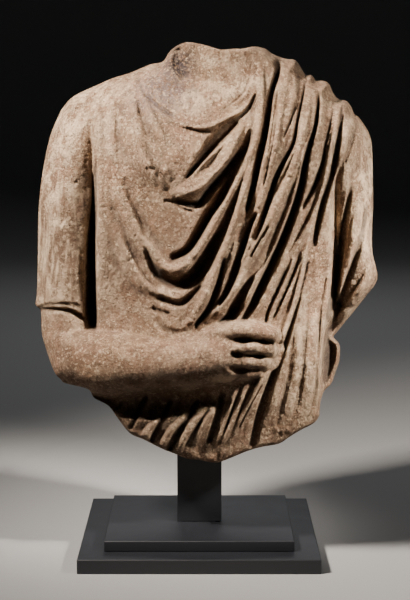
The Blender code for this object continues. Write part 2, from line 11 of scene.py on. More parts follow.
import bmesh
import bpy
import numpy as np
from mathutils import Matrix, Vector


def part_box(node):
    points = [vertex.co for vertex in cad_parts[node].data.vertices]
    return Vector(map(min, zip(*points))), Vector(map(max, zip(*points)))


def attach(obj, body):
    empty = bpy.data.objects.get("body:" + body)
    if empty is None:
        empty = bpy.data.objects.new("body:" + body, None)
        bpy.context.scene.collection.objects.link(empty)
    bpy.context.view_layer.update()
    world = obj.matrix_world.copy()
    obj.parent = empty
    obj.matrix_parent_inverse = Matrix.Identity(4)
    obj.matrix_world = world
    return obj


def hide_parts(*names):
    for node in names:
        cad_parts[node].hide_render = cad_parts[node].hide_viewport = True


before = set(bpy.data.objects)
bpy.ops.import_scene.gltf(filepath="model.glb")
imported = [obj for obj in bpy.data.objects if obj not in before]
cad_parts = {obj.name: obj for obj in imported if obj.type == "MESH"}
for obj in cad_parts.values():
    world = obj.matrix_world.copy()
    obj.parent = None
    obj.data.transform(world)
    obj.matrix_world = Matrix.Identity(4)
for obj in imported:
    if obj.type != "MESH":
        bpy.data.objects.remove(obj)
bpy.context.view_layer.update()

post_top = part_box("stand_post")[1][2]

# %% [markdown]
# ## How the stone is shaped
# A sculptor who works a block draws the front on it, and then cuts back from the drawing. The skin
# is made that way. A net of places is laid over an upright sheet through the middle of the stone.
# For each place, numbers say how far the front stands proud of the sheet and how far the back lies
# behind it, and both are carried along the sight line of somebody in front of the work.
# Sculpting by hand in Blender would give the same look, but nobody could repeat or change it.

# %% The drawing sheet, in millimetres
MM = 0.001
EYE_U = 8.2
EYE_W = 670.3
EYE_AWAY = 2117.1
SOCKET_ROOF_W = 169.0
SEAT_GAP = 0.3
LIFT = post_top / MM + SEAT_GAP - SOCKET_ROOF_W

# %% [markdown]
# ## The outline
# Four edges enclose the drawing: two sides, the shoulders with the broken neck, and the broken edge
# below. Only the points that carry the shape are written down, and a smooth curve passes through them.

# %% The four edges of the drawing: places as (u, w), right and up
LEFT_SIDE = [(-203, 243), (-212, 253), (-221, 277), (-230, 310), (-231, 335), (-232, 347), (-239, 355),
             (-237, 369), (-234.5, 422), (-233, 480), (-229, 526), (-221, 571), (-212, 605), (-198, 636)]
RIGHT_SIDE = [(177, 189), (178, 208), (180, 217), (184, 227), (194, 238), (200, 256), (205, 271),
              (206, 289), (203, 299), (196, 307), (201, 314), (216, 333), (228, 348), (245, 370), (256, 385),
              (259, 397), (256, 413), (251, 432), (250, 466), (251, 504), (250, 538), (248, 585), (244, 602),
              (238, 613), (228, 627)]
TOP_EDGE = [(-198, 636), (-181, 655), (-148, 671), (-122, 682), (-99, 689), (-70, 701), (-52, 705),
            (-42, 719), (-30, 728), (-16, 732), (5, 729), (30, 722), (49, 723), (62, 723), (78, 726),
            (94, 723), (104, 716), (122, 709), (134, 708), (141, 703), (151, 687), (160, 686), (167, 678),
            (177, 678), (186, 673), (191, 661), (199, 652), (209, 650), (217, 642), (221, 632), (228, 627)]
BOTTOM_EDGE = [(-203, 243), (-197, 238), (-164, 229), (-155, 216), (-134, 204), (-121, 186), (-103, 163),
               (-82, 153), (-55, 139), (-35, 131), (-18, 124), (1, 122), (22, 118), (36, 121), (72, 136),
               (93, 142), (118, 147), (133, 157), (149, 167), (169, 178), (177, 189)]


def smooth_line(points, steps=8):
    """A smooth curve through given points: each span is a cubic that leaves one point and
    reaches the next in the direction of that point's two neighbours."""
    p = np.asarray(points, float)
    q = np.vstack([2 * p[0] - p[1], p, 2 * p[-1] - p[-2]])
    t = np.linspace(0, 1, steps, endpoint=False)[:, None]
    spans = [0.5 * (2 * b + (c - a) * t + (2 * a - 5 * b + 4 * c - d) * t ** 2
                    + (3 * b - a - 3 * c + d) * t ** 3)
             for a, b, c, d in zip(q[:-3], q[1:-2], q[2:-1], q[3:])]
    return np.vstack(spans + [p[-1:]])


print("outline edges", [len(e) for e in (LEFT_SIDE, RIGHT_SIDE, TOP_EDGE, BOTTOM_EDGE)])

# %% [markdown]
# ## Small helpers for curves and blends
# Three ideas do nearly all the shaping. A value can change smoothly along a path. A place can ask how
# far it is from a path, and on which side. And two surfaces can be merged so that the prouder one
# shows, with a soft join.

# %% Values along a path, and ramps


def stations(where, values):
    """A value that changes smoothly along a path, given at evenly spaced stations."""
    x = np.linspace(0, 1, len(values))
    curve = smooth_line(np.stack([x, values], 1))
    return np.interp(where, curve[:, 0], curve[:, 1])


def at_height(w, table):
    """A value that changes smoothly with height, from a table of heights and values."""
    curve = smooth_line(table)
    return np.interp(w, curve[:, 0], curve[:, 1])


def ramp(x, low, high):
    """0 below low, 1 above high, and a smooth S between."""
    t = np.clip((x - low) / (high - low), 0, 1)
    return t * t * (3 - 2 * t)


def merged(a, b, blend):
    """The prouder of two surfaces, rounded into each other where they are within blend."""
    h = np.clip(0.5 + 0.5 * (a - b) / blend, 0, 1)
    return b * (1 - h) + a * h + blend * h * (1 - h)


# %% The nearest place on a path


def nearest_on(u, w, line, reach):
    """How far each place is from a path, positive on the walker's left, and how far along the path
    its nearest point lies, from 0 to 1. Places beyond reach are given twice the reach."""
    apart = np.full(u.shape, 2.0 * reach)
    along = np.zeros(u.shape)
    low, high = line.min(0) - reach, line.max(0) + reach
    near = (u > low[0]) & (u < high[0]) & (w > low[1]) & (w < high[1])
    pu, pw = u[near], w[near]
    run = np.diff(line, axis=0)
    length = np.hypot(run[:, 0], run[:, 1])
    start = np.concatenate([[0], np.cumsum(length)])
    best = np.full(pu.shape, 2.0 * reach)
    side = np.ones(pu.shape)
    place = np.zeros(pu.shape)
    for k in range(len(run)):
        du, dw = pu - line[k, 0], pw - line[k, 1]
        t = np.clip((du * run[k, 0] + dw * run[k, 1]) / length[k] ** 2, 0, 1)
        d = np.hypot(du - t * run[k, 0], dw - t * run[k, 1])
        closer = d < best
        best = np.where(closer, d, best)
        side = np.where(closer, np.where(run[k, 0] * dw > run[k, 1] * du, 1.0, -1.0), side)
        place = np.where(closer, (start[k] + t * length[k]) / start[-1], place)
    apart[near] = best * side
    along[near] = place
    return apart, along


# %% Three ways to raise the surface
LIMB_DROP = 250.0
LIMB_REACH = 150.0
BANK_SLOPE = 1.5


def mark(u, w, points, left, right, size, power=0.7, taper=0.14, ease=0.5):
    """One carved line, as a height: full on the path, an arch across it, nothing past its widths,
    and running out over the taper at both ends. The arch is (1 - (apart / width) ** 2) ** power, and
    each end is (along / taper) ** ease."""
    apart, along = nearest_on(u, w, smooth_line(points), max(tuple(left) + tuple(right)))
    wide = np.where(apart > 0, stations(along, left), stations(along, right))
    arch = np.clip(1 - (apart / np.maximum(wide, 0.1)) ** 2, 0, 1) ** power
    ends = (np.clip(along / taper, 0, 1) * np.clip((1 - along) / taper, 0, 1)) ** ease
    return arch * ends * stations(along, size)


def limb(u, w, points, radii, axis):
    """A round limb: a half circle across its path, whose middle is as proud as axis says, and beside
    it a bank that falls ever steeper, down to LIMB_DROP."""
    apart, along = nearest_on(u, w, smooth_line(points), LIMB_REACH)
    r = stations(along, radii)
    q = 1 - (apart / r) ** 2
    bank = np.maximum(BANK_SLOPE * q * r, -LIMB_DROP)
    return stations(along, axis) + np.where(q > 0, r * np.sqrt(np.abs(q)), bank)


def swell(u, w, centre, size, proud):
    """A soft bulge that fades all round, like a bell."""
    return proud * np.exp(-((u - centre[0]) / size[0]) ** 2 - ((w - centre[1]) / size[1]) ** 2)


# %% [markdown]
# ## The body under the cloth
# Before any fold is cut the front is a calm shape: a broad trunk, the hanging upper arm, the forearm
# that crosses the belly, and the other arm wrapped in the mantle. Each is a simple formula, and
# `merged` joins them.

# %% How proud the trunk stands, up its height
TRUNK_FRONT = [(100, 90), (140, 98), (200, 109), (260, 111), (330, 107), (400, 104), (460, 106), (520, 113),
               (565, 117), (605, 109), (645, 89), (685, 65), (735, 50)]
TRUNK_BACK = [(100, 72), (160, 86), (240, 98), (320, 95), (400, 88), (480, 94), (560, 105), (620, 100),
              (670, 78), (700, 62), (735, 52)]

# %% The trunk's section and the soft forms on it
TRUNK_SQUARENESS = 2.6
TRUNK_MIDDLE = 30.0
TRUNK_HALF = 236.0
BACK_MIDDLE = 25.0
BACK_HALF = 205.0
CHEST = ((-62, 585), (62, 60), 8)
BELLY = ((5, 420), (80, 90), 7)
BUNDLE = ([(150, 650), (120, 560), (80, 440), (30, 330)], (70, 55), (70, 55), (11, 11))
UNDERCUT = ([(-170, 232), (-110, 208), (-30, 205), (45, 222)], (30, 30), (24, 22), (22, 26, 26, 12))
BUNDLE_ARCH = 1.5
UNDERCUT_ARCH = 1.2
LEAST_BEHIND = 22.0
LEAST_THICKNESS = 6.0

# %% The limbs: path, radii along it, and how proud its middle lies
ARM_BLEND = 14.0
FOREARM_BLEND = 7.0
COVERED_BLEND = 9.0
UPPER_ARM_BEHIND = (2, 0, 0, -4, -20)
COVERED_ARM_BEHIND = (4, 4, 4, 4)
UPPER_ARM = ([(-178, 610), (-186, 540), (-192, 440), (-195, 350), (-192, 285)], (50, 46, 44, 43, 42),
             (20, 20, 22, 30, 48))
FOREARM = ([(-200, 276), (-150, 270), (-100, 268), (-40, 268), (0, 272), (40, 280)],
           (44, 47, 45, 37, 39, 43), (62, 82, 96, 104, 108, 112))
COVERED_ARM = ([(205, 600), (225, 520), (232, 440), (228, 385)], (48, 36, 34, 34), (40, 40, 36, 30))

# %% The gap beside the upper arm, and the valley between the panel and the covered arm
GAP_ACROSS = (-166, -150)
GAP_TOP = (555, 625)
VALLEY_PROUD = 36.0
VALLEY_ACROSS = (186, 202)
VALLEY_TOP = 600.0
VALLEY_FADE = 130.0


def across_trunk(u, middle, half):
    """The trunk's rounded section: 1 in the middle and 0 at the sides, (1 - across ** 2.6) ** 0.5."""
    across = np.clip(np.abs(u - middle) / half, 0, 1)
    return (1 - across ** TRUNK_SQUARENESS) ** 0.5


def bare_front(u, w):
    """The front before any carving: trunk, upper arm, forearm and the arm under the mantle."""
    trunk = at_height(w, TRUNK_FRONT) * across_trunk(u, TRUNK_MIDDLE, TRUNK_HALF)
    trunk += swell(u, w, *CHEST) + swell(u, w, *BELLY)
    trunk += mark(u, w, *BUNDLE, BUNDLE_ARCH) - mark(u, w, *UNDERCUT, UNDERCUT_ARCH)
    beside_arm = (1 - ramp(u, *GAP_ACROSS)) * (1 - ramp(w, *GAP_TOP))
    body = merged(trunk - LIMB_DROP * beside_arm, limb(u, w, *UPPER_ARM), ARM_BLEND)
    body = merged(body, limb(u, w, *FOREARM), FOREARM_BLEND)
    outside = ramp(u, *VALLEY_ACROSS) * ramp(VALLEY_TOP - w, 0, VALLEY_FADE)
    body = body * (1 - outside) + VALLEY_PROUD * outside
    return merged(body, limb(u, w, *COVERED_ARM), COVERED_BLEND)


# %% [markdown]
# ## The drapery
# The mantle comes over one shoulder and falls in long pleats to the fist, and from its edge a set of
# rounded swags hangs across the chest and belly. Each fold is one short path down the drawing. Rolls
# are the broad bundles, ridges the single folds on them, and hollows the dark cuts between. A hollow
# has a width for each bank, because a carver's cut is often steep on one side and soft on the other.

# %% Rolls: path, half width and height along it
ROLLS = {
    "first swag": ([(64, 622), (24, 549), (-31, 518), (-50, 522)], (9, 12, 9), (6, 7, 4)),
    "second swag": ([(70, 570), (24, 476), (-28, 410), (-60, 415), (-100, 490)], (9, 12, 14, 16),
                    (6, 9, 9, 2)),
    "third swag": ([(82, 570), (38, 435), (-10, 335), (-30, 305)], (9, 12, 9), (5, 8, 6)),
    "left arm 1": ([(-112, 640), (-101, 606), (-88, 572), (-66, 540), (-46, 520)], (13, 13, 11), (4, 7, 7)),
    "left arm 2": ([(-128, 560), (-118, 520), (-104, 484), (-88, 448), (-68, 422), (-52, 411)], (15, 15, 11),
                   (3, 6.5, 8)),
    "left arm 3": ([(-124, 478), (-114, 440), (-98, 404), (-78, 380), (-52, 368)], (13, 13, 9), (5, 8, 7)),
    "chest side": ([(-146, 560), (-141, 470), (-140, 390), (-140, 320)], (19, 19, 19), (2, 2.5, 2)),
    "inner pleat": ([(132, 700), (124, 640), (112, 590), (96, 530)], (17, 15, 10), (4, 5, 3)),
    "middle pleat": ([(162, 676), (150, 600), (128, 530), (98, 470), (66, 408)], (12, 14, 13), (3, 5, 6)),
    "outer pleat": ([(212, 640), (206, 580), (196, 520), (188, 460)], (12, 12, 12), (3, 4, 4)),
}

# %% Ridges on the chest and belly: path, half width and height
RIDGES = {
    "mantle edge": ([(87, 707), (88, 650), (80, 594), (60, 535)], (6, 7, 5), (6, 8, 4)),
    "neckline roll": ([(84, 690), (75, 652), (56, 634), (27, 618), (0, 612), (-32, 619), (-62, 638),
                       (-84, 664)], (4, 4, 4, 3), (5, 5, 4, 3)),
    "neckline cord": ([(79, 703), (77, 680), (68, 660), (50, 644), (28, 630)], (3, 3, 2), (2, 2, 1)),
    "swag 1 arm": ([(-103, 626), (-91, 607), (-82, 580), (-71, 560), (-57, 539), (-44, 521), (-28, 516)],
                   (6, 6, 5), (2, 3, 3)),
    "swag 1 arm 2": ([(-80, 612), (-66, 580), (-52, 556), (-38, 536)], (7, 7), (3, 4)),
    "shoulder fold 1": ([(-124, 664), (-128, 630), (-127, 590), (-124, 556)], (8, 9, 8), (4, 5.5, 4)),
    "shoulder fold 2": ([(-100, 668), (-94, 640), (-84, 606), (-70, 574)], (7, 7, 7), (5, 8, 6)),
    "shoulder fold 3": ([(-84, 664), (-74, 640), (-60, 612), (-44, 584)], (6, 6, 6), (3, 5.5, 4)),
    "swag 2 arm": ([(-122, 539), (-110, 511), (-100, 493), (-90, 470), (-81, 451), (-69, 435), (-60, 419),
                    (-49, 411)], (6, 6, 5), (2, 3, 4)),
    "swag 3 arm": ([(-116, 461), (-109, 442), (-100, 423), (-88, 402), (-79, 386), (-67, 375), (-51, 370),
                    (-33, 365), (-16, 370)], (6, 6, 5), (2, 3, 4)),
    "chest edge": ([(-146, 560), (-142, 461), (-141, 391), (-140, 325)], (5, 6, 5), (1, 2, 1.5)),
    "swag 1 upper": ([(54, 624), (43, 604), (30, 588), (11, 567), (-8, 548)], (5, 5, 4), (4, 5, 3)),
    "swag 1": ([(64, 622), (53, 591), (38, 561), (11, 531), (-16, 516), (-45, 521)], (5, 6, 7), (4, 7, 4)),
    "swag 1 inner": ([(74, 596), (62, 574), (50, 556), (40, 543)], (3, 3, 3), (2, 3, 2)),
    "swag 2 upper": ([(50, 548), (36, 520), (20, 494), (4, 470)], (4, 4, 3), (3, 4, 2)),
    "swag 2": ([(67, 562), (49, 526), (30, 489), (11, 452), (-8, 422), (-28, 407), (-51, 412), (-72, 426)],
               (5, 6, 7, 8), (5, 8, 7, 3)),
    "swag 3": ([(80, 575), (62, 516), (44, 458), (24, 409), (8, 365), (-12, 330), (-30, 306)], (5, 6, 6),
               (5, 8, 6)),
    "swag 3 split": ([(55, 452), (45, 417), (37, 395), (27, 359)], (4, 4, 3), (5, 6, 4)),
    "swag 4": ([(75, 414), (61, 393), (49, 373), (30, 350), (7, 328)], (5, 7, 7), (5, 8, 6)),
    "swag 4 split": ([(71, 403), (58, 369), (46, 345)], (3, 4, 3), (3, 4, 3)),
    "swag 5": ([(95, 414), (84, 393), (73, 372), (66, 345)], (4, 5, 4), (6, 8, 5)),
}

# %% Ridges of the long pleats from the shoulder
PLEATS = {
    "pleat 1": ([(108, 700), (106, 661), (100, 611), (93, 559), (82, 505)], (4, 4, 4), (4, 5, 4)),
    "pleat 2": ([(124, 700), (119, 661), (114, 624), (107, 580), (98, 540), (84, 490), (62, 420), (38, 372)],
                (6, 6, 6, 5), (4, 5, 8, 5)),
    "pleat 2 outer": ([(139, 694), (136, 660), (131, 632)], (5, 5), (3, 3)),
    "pleat 3": ([(146, 640), (141, 606), (134, 580), (120, 552), (106, 520)], (3, 4, 4), (3, 5, 4)),
    "pleat 4": ([(158, 676), (154, 636), (146, 592), (135, 550), (118, 512), (102, 479), (84, 444), (66, 407),
                 (46, 372)], (6, 7, 9, 8), (4, 6, 9, 5)),
    "pleat 4 bank": ([(168, 652), (163, 608), (151, 578), (144, 540), (133, 500), (122, 470), (110, 438),
                      (96, 408), (84, 390)], (3, 4, 5, 5), (4, 7, 9, 6)),
    "pleat 5": ([(177, 676), (177, 649), (171, 610), (162, 566), (158, 530), (143, 488)], (6, 7, 4),
                (4, 7, 6)),
    "pleat 6": ([(195, 656), (198, 620), (189, 578), (184, 550), (175, 512), (165, 484), (152, 458),
                 (139, 434), (120, 408)], (4, 4, 6, 7), (5, 7, 8, 6)),
    "pleat 7": ([(217, 640), (214, 608), (204, 572), (193, 540), (189, 506)], (5, 4, 4), (4, 6, 5)),
    "pleat 7 outer": ([(232, 620), (226, 596), (216, 566), (210, 534), (206, 500)], (6, 7, 7), (2, 4, 4)),
    "panel bank": ([(206, 520), (198, 460), (190, 400), (183, 340), (178, 290), (175, 232)], (4, 4, 4),
                   (3, 5, 5)),
    "fist bank 1": ([(134, 434), (119, 410), (104, 384), (84, 351), (62, 326)], (5, 7, 6), (6, 8, 5)),
    "fist bank 2": ([(141, 440), (132, 408), (120, 378), (106, 346), (98, 326)], (3, 3, 3), (4, 6, 4)),
    "fist bank 3": ([(155, 450), (143, 405), (130, 372), (113, 335)], (3, 3, 3), (4, 5, 4)),
    "long edge": ([(168, 502), (160, 466), (153, 430), (146, 385), (138, 350), (130, 322), (116, 292),
                   (102, 261), (84, 228), (66, 192), (46, 153), (30, 122)], (4, 4, 5, 6, 6),
                   (5, 7, 9, 11, 8)),
    "arm fold 1": ([(234, 530), (229, 476), (217, 420), (196, 358), (188, 330)], (6, 9, 10, 9),
                   (2, 8, 18, 20)),
    "arm fold 2": ([(252, 410), (238, 378), (220, 352), (202, 326)], (8, 9, 9), (6, 13, 14)),
    "panel rib 1": ([(131, 320), (119, 246), (104, 180)], (7, 8), (4, 5)),
    "panel rib 2": ([(150, 340), (139, 250), (126, 180)], (7, 9), (3, 4)),
    "panel rib 3": ([(170, 360), (164, 270), (155, 195)], (9, 10), (3, 5)),
}

# %% Ridges below the forearm
LOWER_FOLDS = {
    "below fist 1": ([(96, 250), (82, 222), (70, 196)], (3, 4), (3, 4)),
    "below fist 2": ([(72, 240), (58, 205), (45, 170), (30, 138)], (4, 5, 5), (6, 9, 7)),
    "below fist 3": ([(54, 232), (44, 198), (34, 168), (24, 140)], (4, 4, 4), (5, 7, 5)),
    "stub 1": ([(-56, 185), (-72, 172), (-84, 152)], (6, 8), (8, 12)),
    "stub 2": ([(-22, 190), (-41, 169), (-57, 140)], (5, 7), (8, 12)),
    "stub 3": ([(10, 206), (-6, 182), (-20, 160), (-35, 130)], (5, 7, 7), (7, 11, 9)),
    "stub 4": ([(21, 206), (10, 183), (0, 164), (-9, 144)], (4, 5, 4), (6, 10, 7)),
    "shadowed 1": ([(-68, 216), (-85, 193), (-99, 172)], (7, 8), (6, 7)),
    "shadowed 2": ([(-30, 220), (-46, 196)], (6, 6), (5, 5)),
    "shadowed 3": ([(-105, 208), (-122, 190)], (6, 6), (4, 5)),
}

# %% Hollows on the chest and belly: path, width of each bank, and depth
HOLLOWS = {
    "neckline left": ([(-90, 688), (-80, 664), (-61, 644), (-34, 626)], (3, 3), (3, 4), (4, 5)),
    "neckline": ([(-20, 612), (8, 605), (30, 609), (51, 622), (68, 636), (81, 660)], (2, 2, 2), (3, 4, 2),
                 (3, 5, 4)),
    "neckline crease": ([(73, 684), (66, 664), (50, 648), (30, 634)], (1.5, 1.5), (2, 2), (1.5, 2)),
    "under neckline": ([(60, 622), (38, 604), (14, 578), (-5, 555), (-21, 537)], (4, 7, 4, 2), (9, 13, 7, 2),
                       (7, 15, 15, 8)),
    "under swag 1": ([(76, 610), (64, 580), (41, 551), (26, 535), (10, 516), (-2, 502), (-20, 503),
                      (-41, 507)], (4, 7, 7, 3), (4, 7, 6, 3), (7, 17, 18, 7)),
    "thin line": ([(-51, 507), (-37, 504), (-23, 495), (-7, 491)], (2, 2), (3, 3), (3, 4)),
    "neck chunk": ([(-36, 728), (-31, 708), (-25, 692), (-20, 678)], (9, 8), (7, 7), (4, 5)),
    "inside arm 1": ([(-92, 632), (-80, 603), (-66, 575), (-50, 552)], (8, 8), (5, 5), (1.5, 2)),
    "inside arm 2": ([(-108, 540), (-96, 508), (-84, 478), (-70, 452), (-56, 434)], (9, 9), (5, 5), (2, 3)),
    "outside arm 2": ([(-122, 500), (-110, 470), (-96, 440), (-82, 418)], (6, 6), (8, 8), (2, 2)),
    "swag 3 arm line": ([(-111, 421), (-102, 400), (-93, 381), (-79, 367)], (5, 5), (5, 5), (1.5, 2)),
    "collar line": ([(-76, 656), (-66, 646), (-55, 637), (-43, 628), (-32, 619)], (2, 2), (2, 2), (3, 3)),
    "over swag 2": ([(60, 580), (46, 542), (32, 512), (13, 483), (-2, 456), (-18, 434), (-42, 423)],
                    (4, 6, 6, 6), (4, 8, 7, 5), (6, 16, 20, 17)),
    "under swag 2": ([(34, 468), (24, 448), (8, 417), (-9, 394), (-33, 386), (-51, 394), (-65, 409),
                      (-80, 440)], (4, 9, 9, 3), (5, 11, 9, 3), (10, 21, 20, 4)),
    "under swag 3": ([(4, 384), (-19, 361), (-33, 356), (-51, 362), (-62, 368)], (3, 5, 4), (3, 5, 4),
                     (4, 7, 5)),
    "under swag 4": ([(-42, 341), (-56, 344), (-70, 351)], (3, 4), (3, 4), (4, 4)),
    "under belly": ([(-64, 336), (-50, 318), (-26, 313), (-8, 328)], (4, 6, 4), (5, 7, 5), (2, 4, 3)),
    "swag 3 left": ([(36, 424), (28, 385), (14, 350), (-8, 322)], (3, 4, 3), (3, 4, 3), (9, 14, 9)),
    "swag 3 right": ([(60, 420), (49, 395), (38, 370), (28, 354)], (3, 5, 3), (4, 6, 4), (10, 15, 10)),
    "over wrist": ([(80, 398), (66, 374), (56, 354), (44, 336), (28, 327)], (4, 5, 7, 5), (4, 8, 9, 5),
                   (8, 16, 24, 14)),
    "beside mantle edge": ([(114, 712), (113, 692), (104, 661), (99, 630), (94, 600), (86, 565), (78, 527),
                            (68, 490)], (3, 4, 4.5, 3), (4, 5, 5, 4), (10, 20, 23, 14)),
    "beside swag 3": ([(83, 490), (72, 466), (59, 426), (42, 390)], (3, 4, 3), (3, 5, 3), (10, 17, 10)),
}

# %% Hollows between the long pleats
CUTS = {
    "deep cut": ([(171, 664), (168, 620), (158, 584), (151, 555), (147, 530), (139, 500), (124, 458),
                  (107, 418), (92, 384), (77, 352), (62, 328)], (3, 4, 6, 8, 9, 8, 6), (3, 4, 5, 7, 8, 9, 8),
                 (12, 26, 32, 34, 34, 32, 20)),
    "pleat 1 line": ([(113, 668), (108, 605), (99, 555), (92, 525)], (1.5, 2), (1.5, 2), (3, 5)),
    "pleat 2 nick": ([(138, 642), (130, 618), (121, 598)], (1.5, 2.5, 1.5), (2, 2.5, 2), (5, 9, 5)),
    "pleat 3 cut": ([(154, 684), (147, 650), (141, 620), (136, 590), (122, 562), (110, 536), (99, 498),
                     (90, 470), (80, 446)], (1.5, 3, 4, 3), (2, 3, 6, 3), (7, 15, 19, 10)),
    "pleat 4 nick": ([(100, 470), (86, 446), (74, 424)], (2, 2), (3, 3), (4, 5)),
    "pleat 5 cut": ([(192, 636), (186, 610), (181, 586), (178, 562), (169, 534), (158, 512), (147, 494)],
                    (1.5, 3, 5, 4), (2, 3, 6, 4), (5, 10, 17, 15)),
    "pleat 6 cut": ([(205, 648), (202, 611), (196, 568), (187, 532), (176, 494), (169, 458), (166, 440)],
                    (3, 5, 6, 4), (3, 5, 6, 5), (9, 17, 20, 18)),
    "pleat 7 line": ([(228, 622), (218, 586), (209, 558)], (1.5, 2, 1.5), (2, 3, 2), (3, 4, 3)),
    "fist line 1": ([(126, 404), (113, 374), (102, 350), (96, 328)], (2, 2.5), (2, 2.5), (6, 9)),
    "fist line 2": ([(147, 425), (134, 392), (120, 360), (106, 332)], (1.5, 2), (2, 2), (5, 7)),
    "fist line 3": ([(158, 420), (150, 384), (139, 348)], (1.5, 2), (1.5, 2), (4, 6)),
    "beside long edge": ([(148, 372), (139, 342), (128, 308), (117, 275), (105, 246), (94, 217), (84, 184),
                          (74, 136)], (2, 6, 9, 12, 12), (2, 3, 4, 4, 4), (8, 13, 15, 16, 12)),
    "long edge line": ([(92, 236), (74, 202), (58, 170)], (1.5, 1.5), (2, 2), (4, 5)),
    "below fist": ([(62, 236), (50, 202), (38, 168)], (2, 2), (2, 2), (5, 6)),
    "under fist": ([(36, 224), (26, 184), (14, 148)], (6, 7, 5), (6, 7, 6), (12, 14, 10)),
    "stub gap 1": ([(-40, 214), (-64, 166), (-73, 144)], (5, 5), (5, 5), (9, 11)),
    "stub gap 2": ([(0, 214), (-28, 168), (-47, 134)], (5, 5), (5, 5), (10, 12)),
    "stub gap 3": ([(-76, 222), (-103, 168)], (5, 5), (5, 5), (6, 8)),
    "panel line 1": ([(140, 300), (127, 226), (112, 176)], (5, 6), (4, 4), (1.2, 2)),
    "panel line 2": ([(160, 330), (149, 240), (138, 186)], (6, 6), (4, 4), (1, 1.5)),
    "panel line 3": ([(178, 350), (174, 270), (168, 205)], (4, 4), (5, 5), (1.5, 2.5)),
    "beside panel": ([(219, 530), (210, 484), (202, 430), (194, 378), (184, 330)], (5, 8, 10, 12, 12),
                     (3, 3, 3, 3, 2), (7, 13, 16, 16, 12)),
    "covered arm line": ([(243, 505), (234, 450), (218, 398), (202, 350), (192, 322)], (4, 6, 6), (4, 6, 6),
                         (4, 10, 11)),
    "arm groove": ([(-149, 566), (-151, 530), (-154, 420), (-153, 330), (-150, 317)], (3, 6, 6, 6, 6),
                   (3, 6, 13, 16, 20), (8, 34, 46, 46, 42)),
    "sleeve gap": ([(-241, 348), (-215, 348), (-190, 345), (-170, 334), (-158, 326)], (3, 4, 6, 6),
                   (3, 3, 4, 5), (9, 13, 17, 17)),
}
print("folds", len(ROLLS), len(RIDGES) + len(PLEATS) + len(LOWER_FOLDS), len(HOLLOWS) + len(CUTS))

# %% Put the folds together
SOFT_CUT = (1.5, 1.35, 1.1)
SHARP_CUT = (0.9, 0.88, 0.85)
ROUND_CREST = 0.7
FLAT_CREST = 0.5
SOFT_ENDS = (0.22, 0.9)
SHORT_TAPER = 0.1
RIDGE_LOST_AT = 8.0
COVERING_ARM_RADII = (41, 46, 45, 41, 45, 46)
COVERING_FIST = ([(20, 284), (60, 284), (96, 284)], (44, 36, 30))
COVER_FADE = (0, 9)


def drapery(u, w):
    """The carved cloth as a height over the bare front: rolls, ridges on them, hollows cut between.
    Where folds of one sort meet, the stronger one counts. Also the hollows' depth alone."""
    rolls, ridges, hollows = np.zeros(u.shape), np.zeros(u.shape), np.zeros(u.shape)
    for points, width, size in ROLLS.values():
        rolls = np.maximum(rolls, mark(u, w, points, width, width, size, 1.0, *SOFT_ENDS))
    for group, power in ((RIDGES, ROUND_CREST), (PLEATS, FLAT_CREST), (LOWER_FOLDS, ROUND_CREST)):
        for points, width, size in group.values():
            ridges = np.maximum(ridges, mark(u, w, points, width, width, size, power, *SOFT_ENDS))
    for group, (power, widen, deepen) in ((HOLLOWS, SOFT_CUT), (CUTS, SHARP_CUT)):
        for points, left, right, depth in group.values():
            left, right, depth = widen * np.array(left), widen * np.array(right), deepen * np.array(depth)
            hollows = np.maximum(hollows, mark(u, w, points, left, right, depth, power, SHORT_TAPER))
    return rolls + ridges * np.clip(1 - hollows / RIDGE_LOST_AT, 0, 1) - hollows, hollows


def cloth_shows(u, w):
    """1 on open cloth, 0 where the forearm and the hand lie over it."""
    arm = limb(u, w, FOREARM[0], COVERING_ARM_RADII, (0, 0))
    fist = limb(u, w, *COVERING_FIST, (0, 0))
    return 1 - ramp(np.maximum(arm, fist), *COVER_FADE)


# %% [markdown]
# ## The hand
# The fist grips the mantle's edge, so only the backs of the four fingers are seen, one above the
# other. Each finger is a round limb along its own short path, laid on the palm's dome, and the gaps
# between are cut last. Modelling each finger as a loose piece would leave seams that stone hasn't got.

# %% Fingers and the gaps between: path, radii or widths, and how proud or deep
FINGERS = [([(10, 306), (34, 312), (62, 315), (86, 313), (105, 308)], (10, 10, 9, 8.5, 8),
            (122, 138, 148, 149, 141)),
           ([(34, 294), (62, 292), (86, 290), (101, 288)], (14, 9.5, 9.5, 8.5), (128, 142, 148, 141)),
           ([(34, 272), (62, 270), (82, 269), (94, 269)], (14, 9, 9, 8), (122, 135, 142, 136)),
           ([(40, 254), (62, 252), (77, 253), (85, 254)], (12, 7.5, 7, 5.5), (116, 126, 132, 128))]
FINGER_GAPS = [([(50, 304), (66, 303), (81, 302)], (3, 6, 3), (8, 18, 8)),
               ([(84, 301), (97, 299), (110, 298)], (2, 4.5, 2.5), (5, 14, 8)),
               ([(44, 282), (54, 281), (65, 280)], (3, 6, 3), (8, 16, 6)),
               ([(76, 281), (87, 279), (96, 279), (107, 280)], (3, 4.5, 2, 1.5), (6, 13, 7, 3)),
               ([(42, 261), (57, 259), (72, 259)], (4, 7, 4), (6, 14, 6)),
               ([(76, 261), (89, 260)], (2, 2), (4, 5))]
PALM_CENTRE = (14, 284)
PALM_SIZE = (60, 42)
PALM_PROUD = 149.0
PALM_BLEND = 10.0
FINGER_BLEND = 3.0


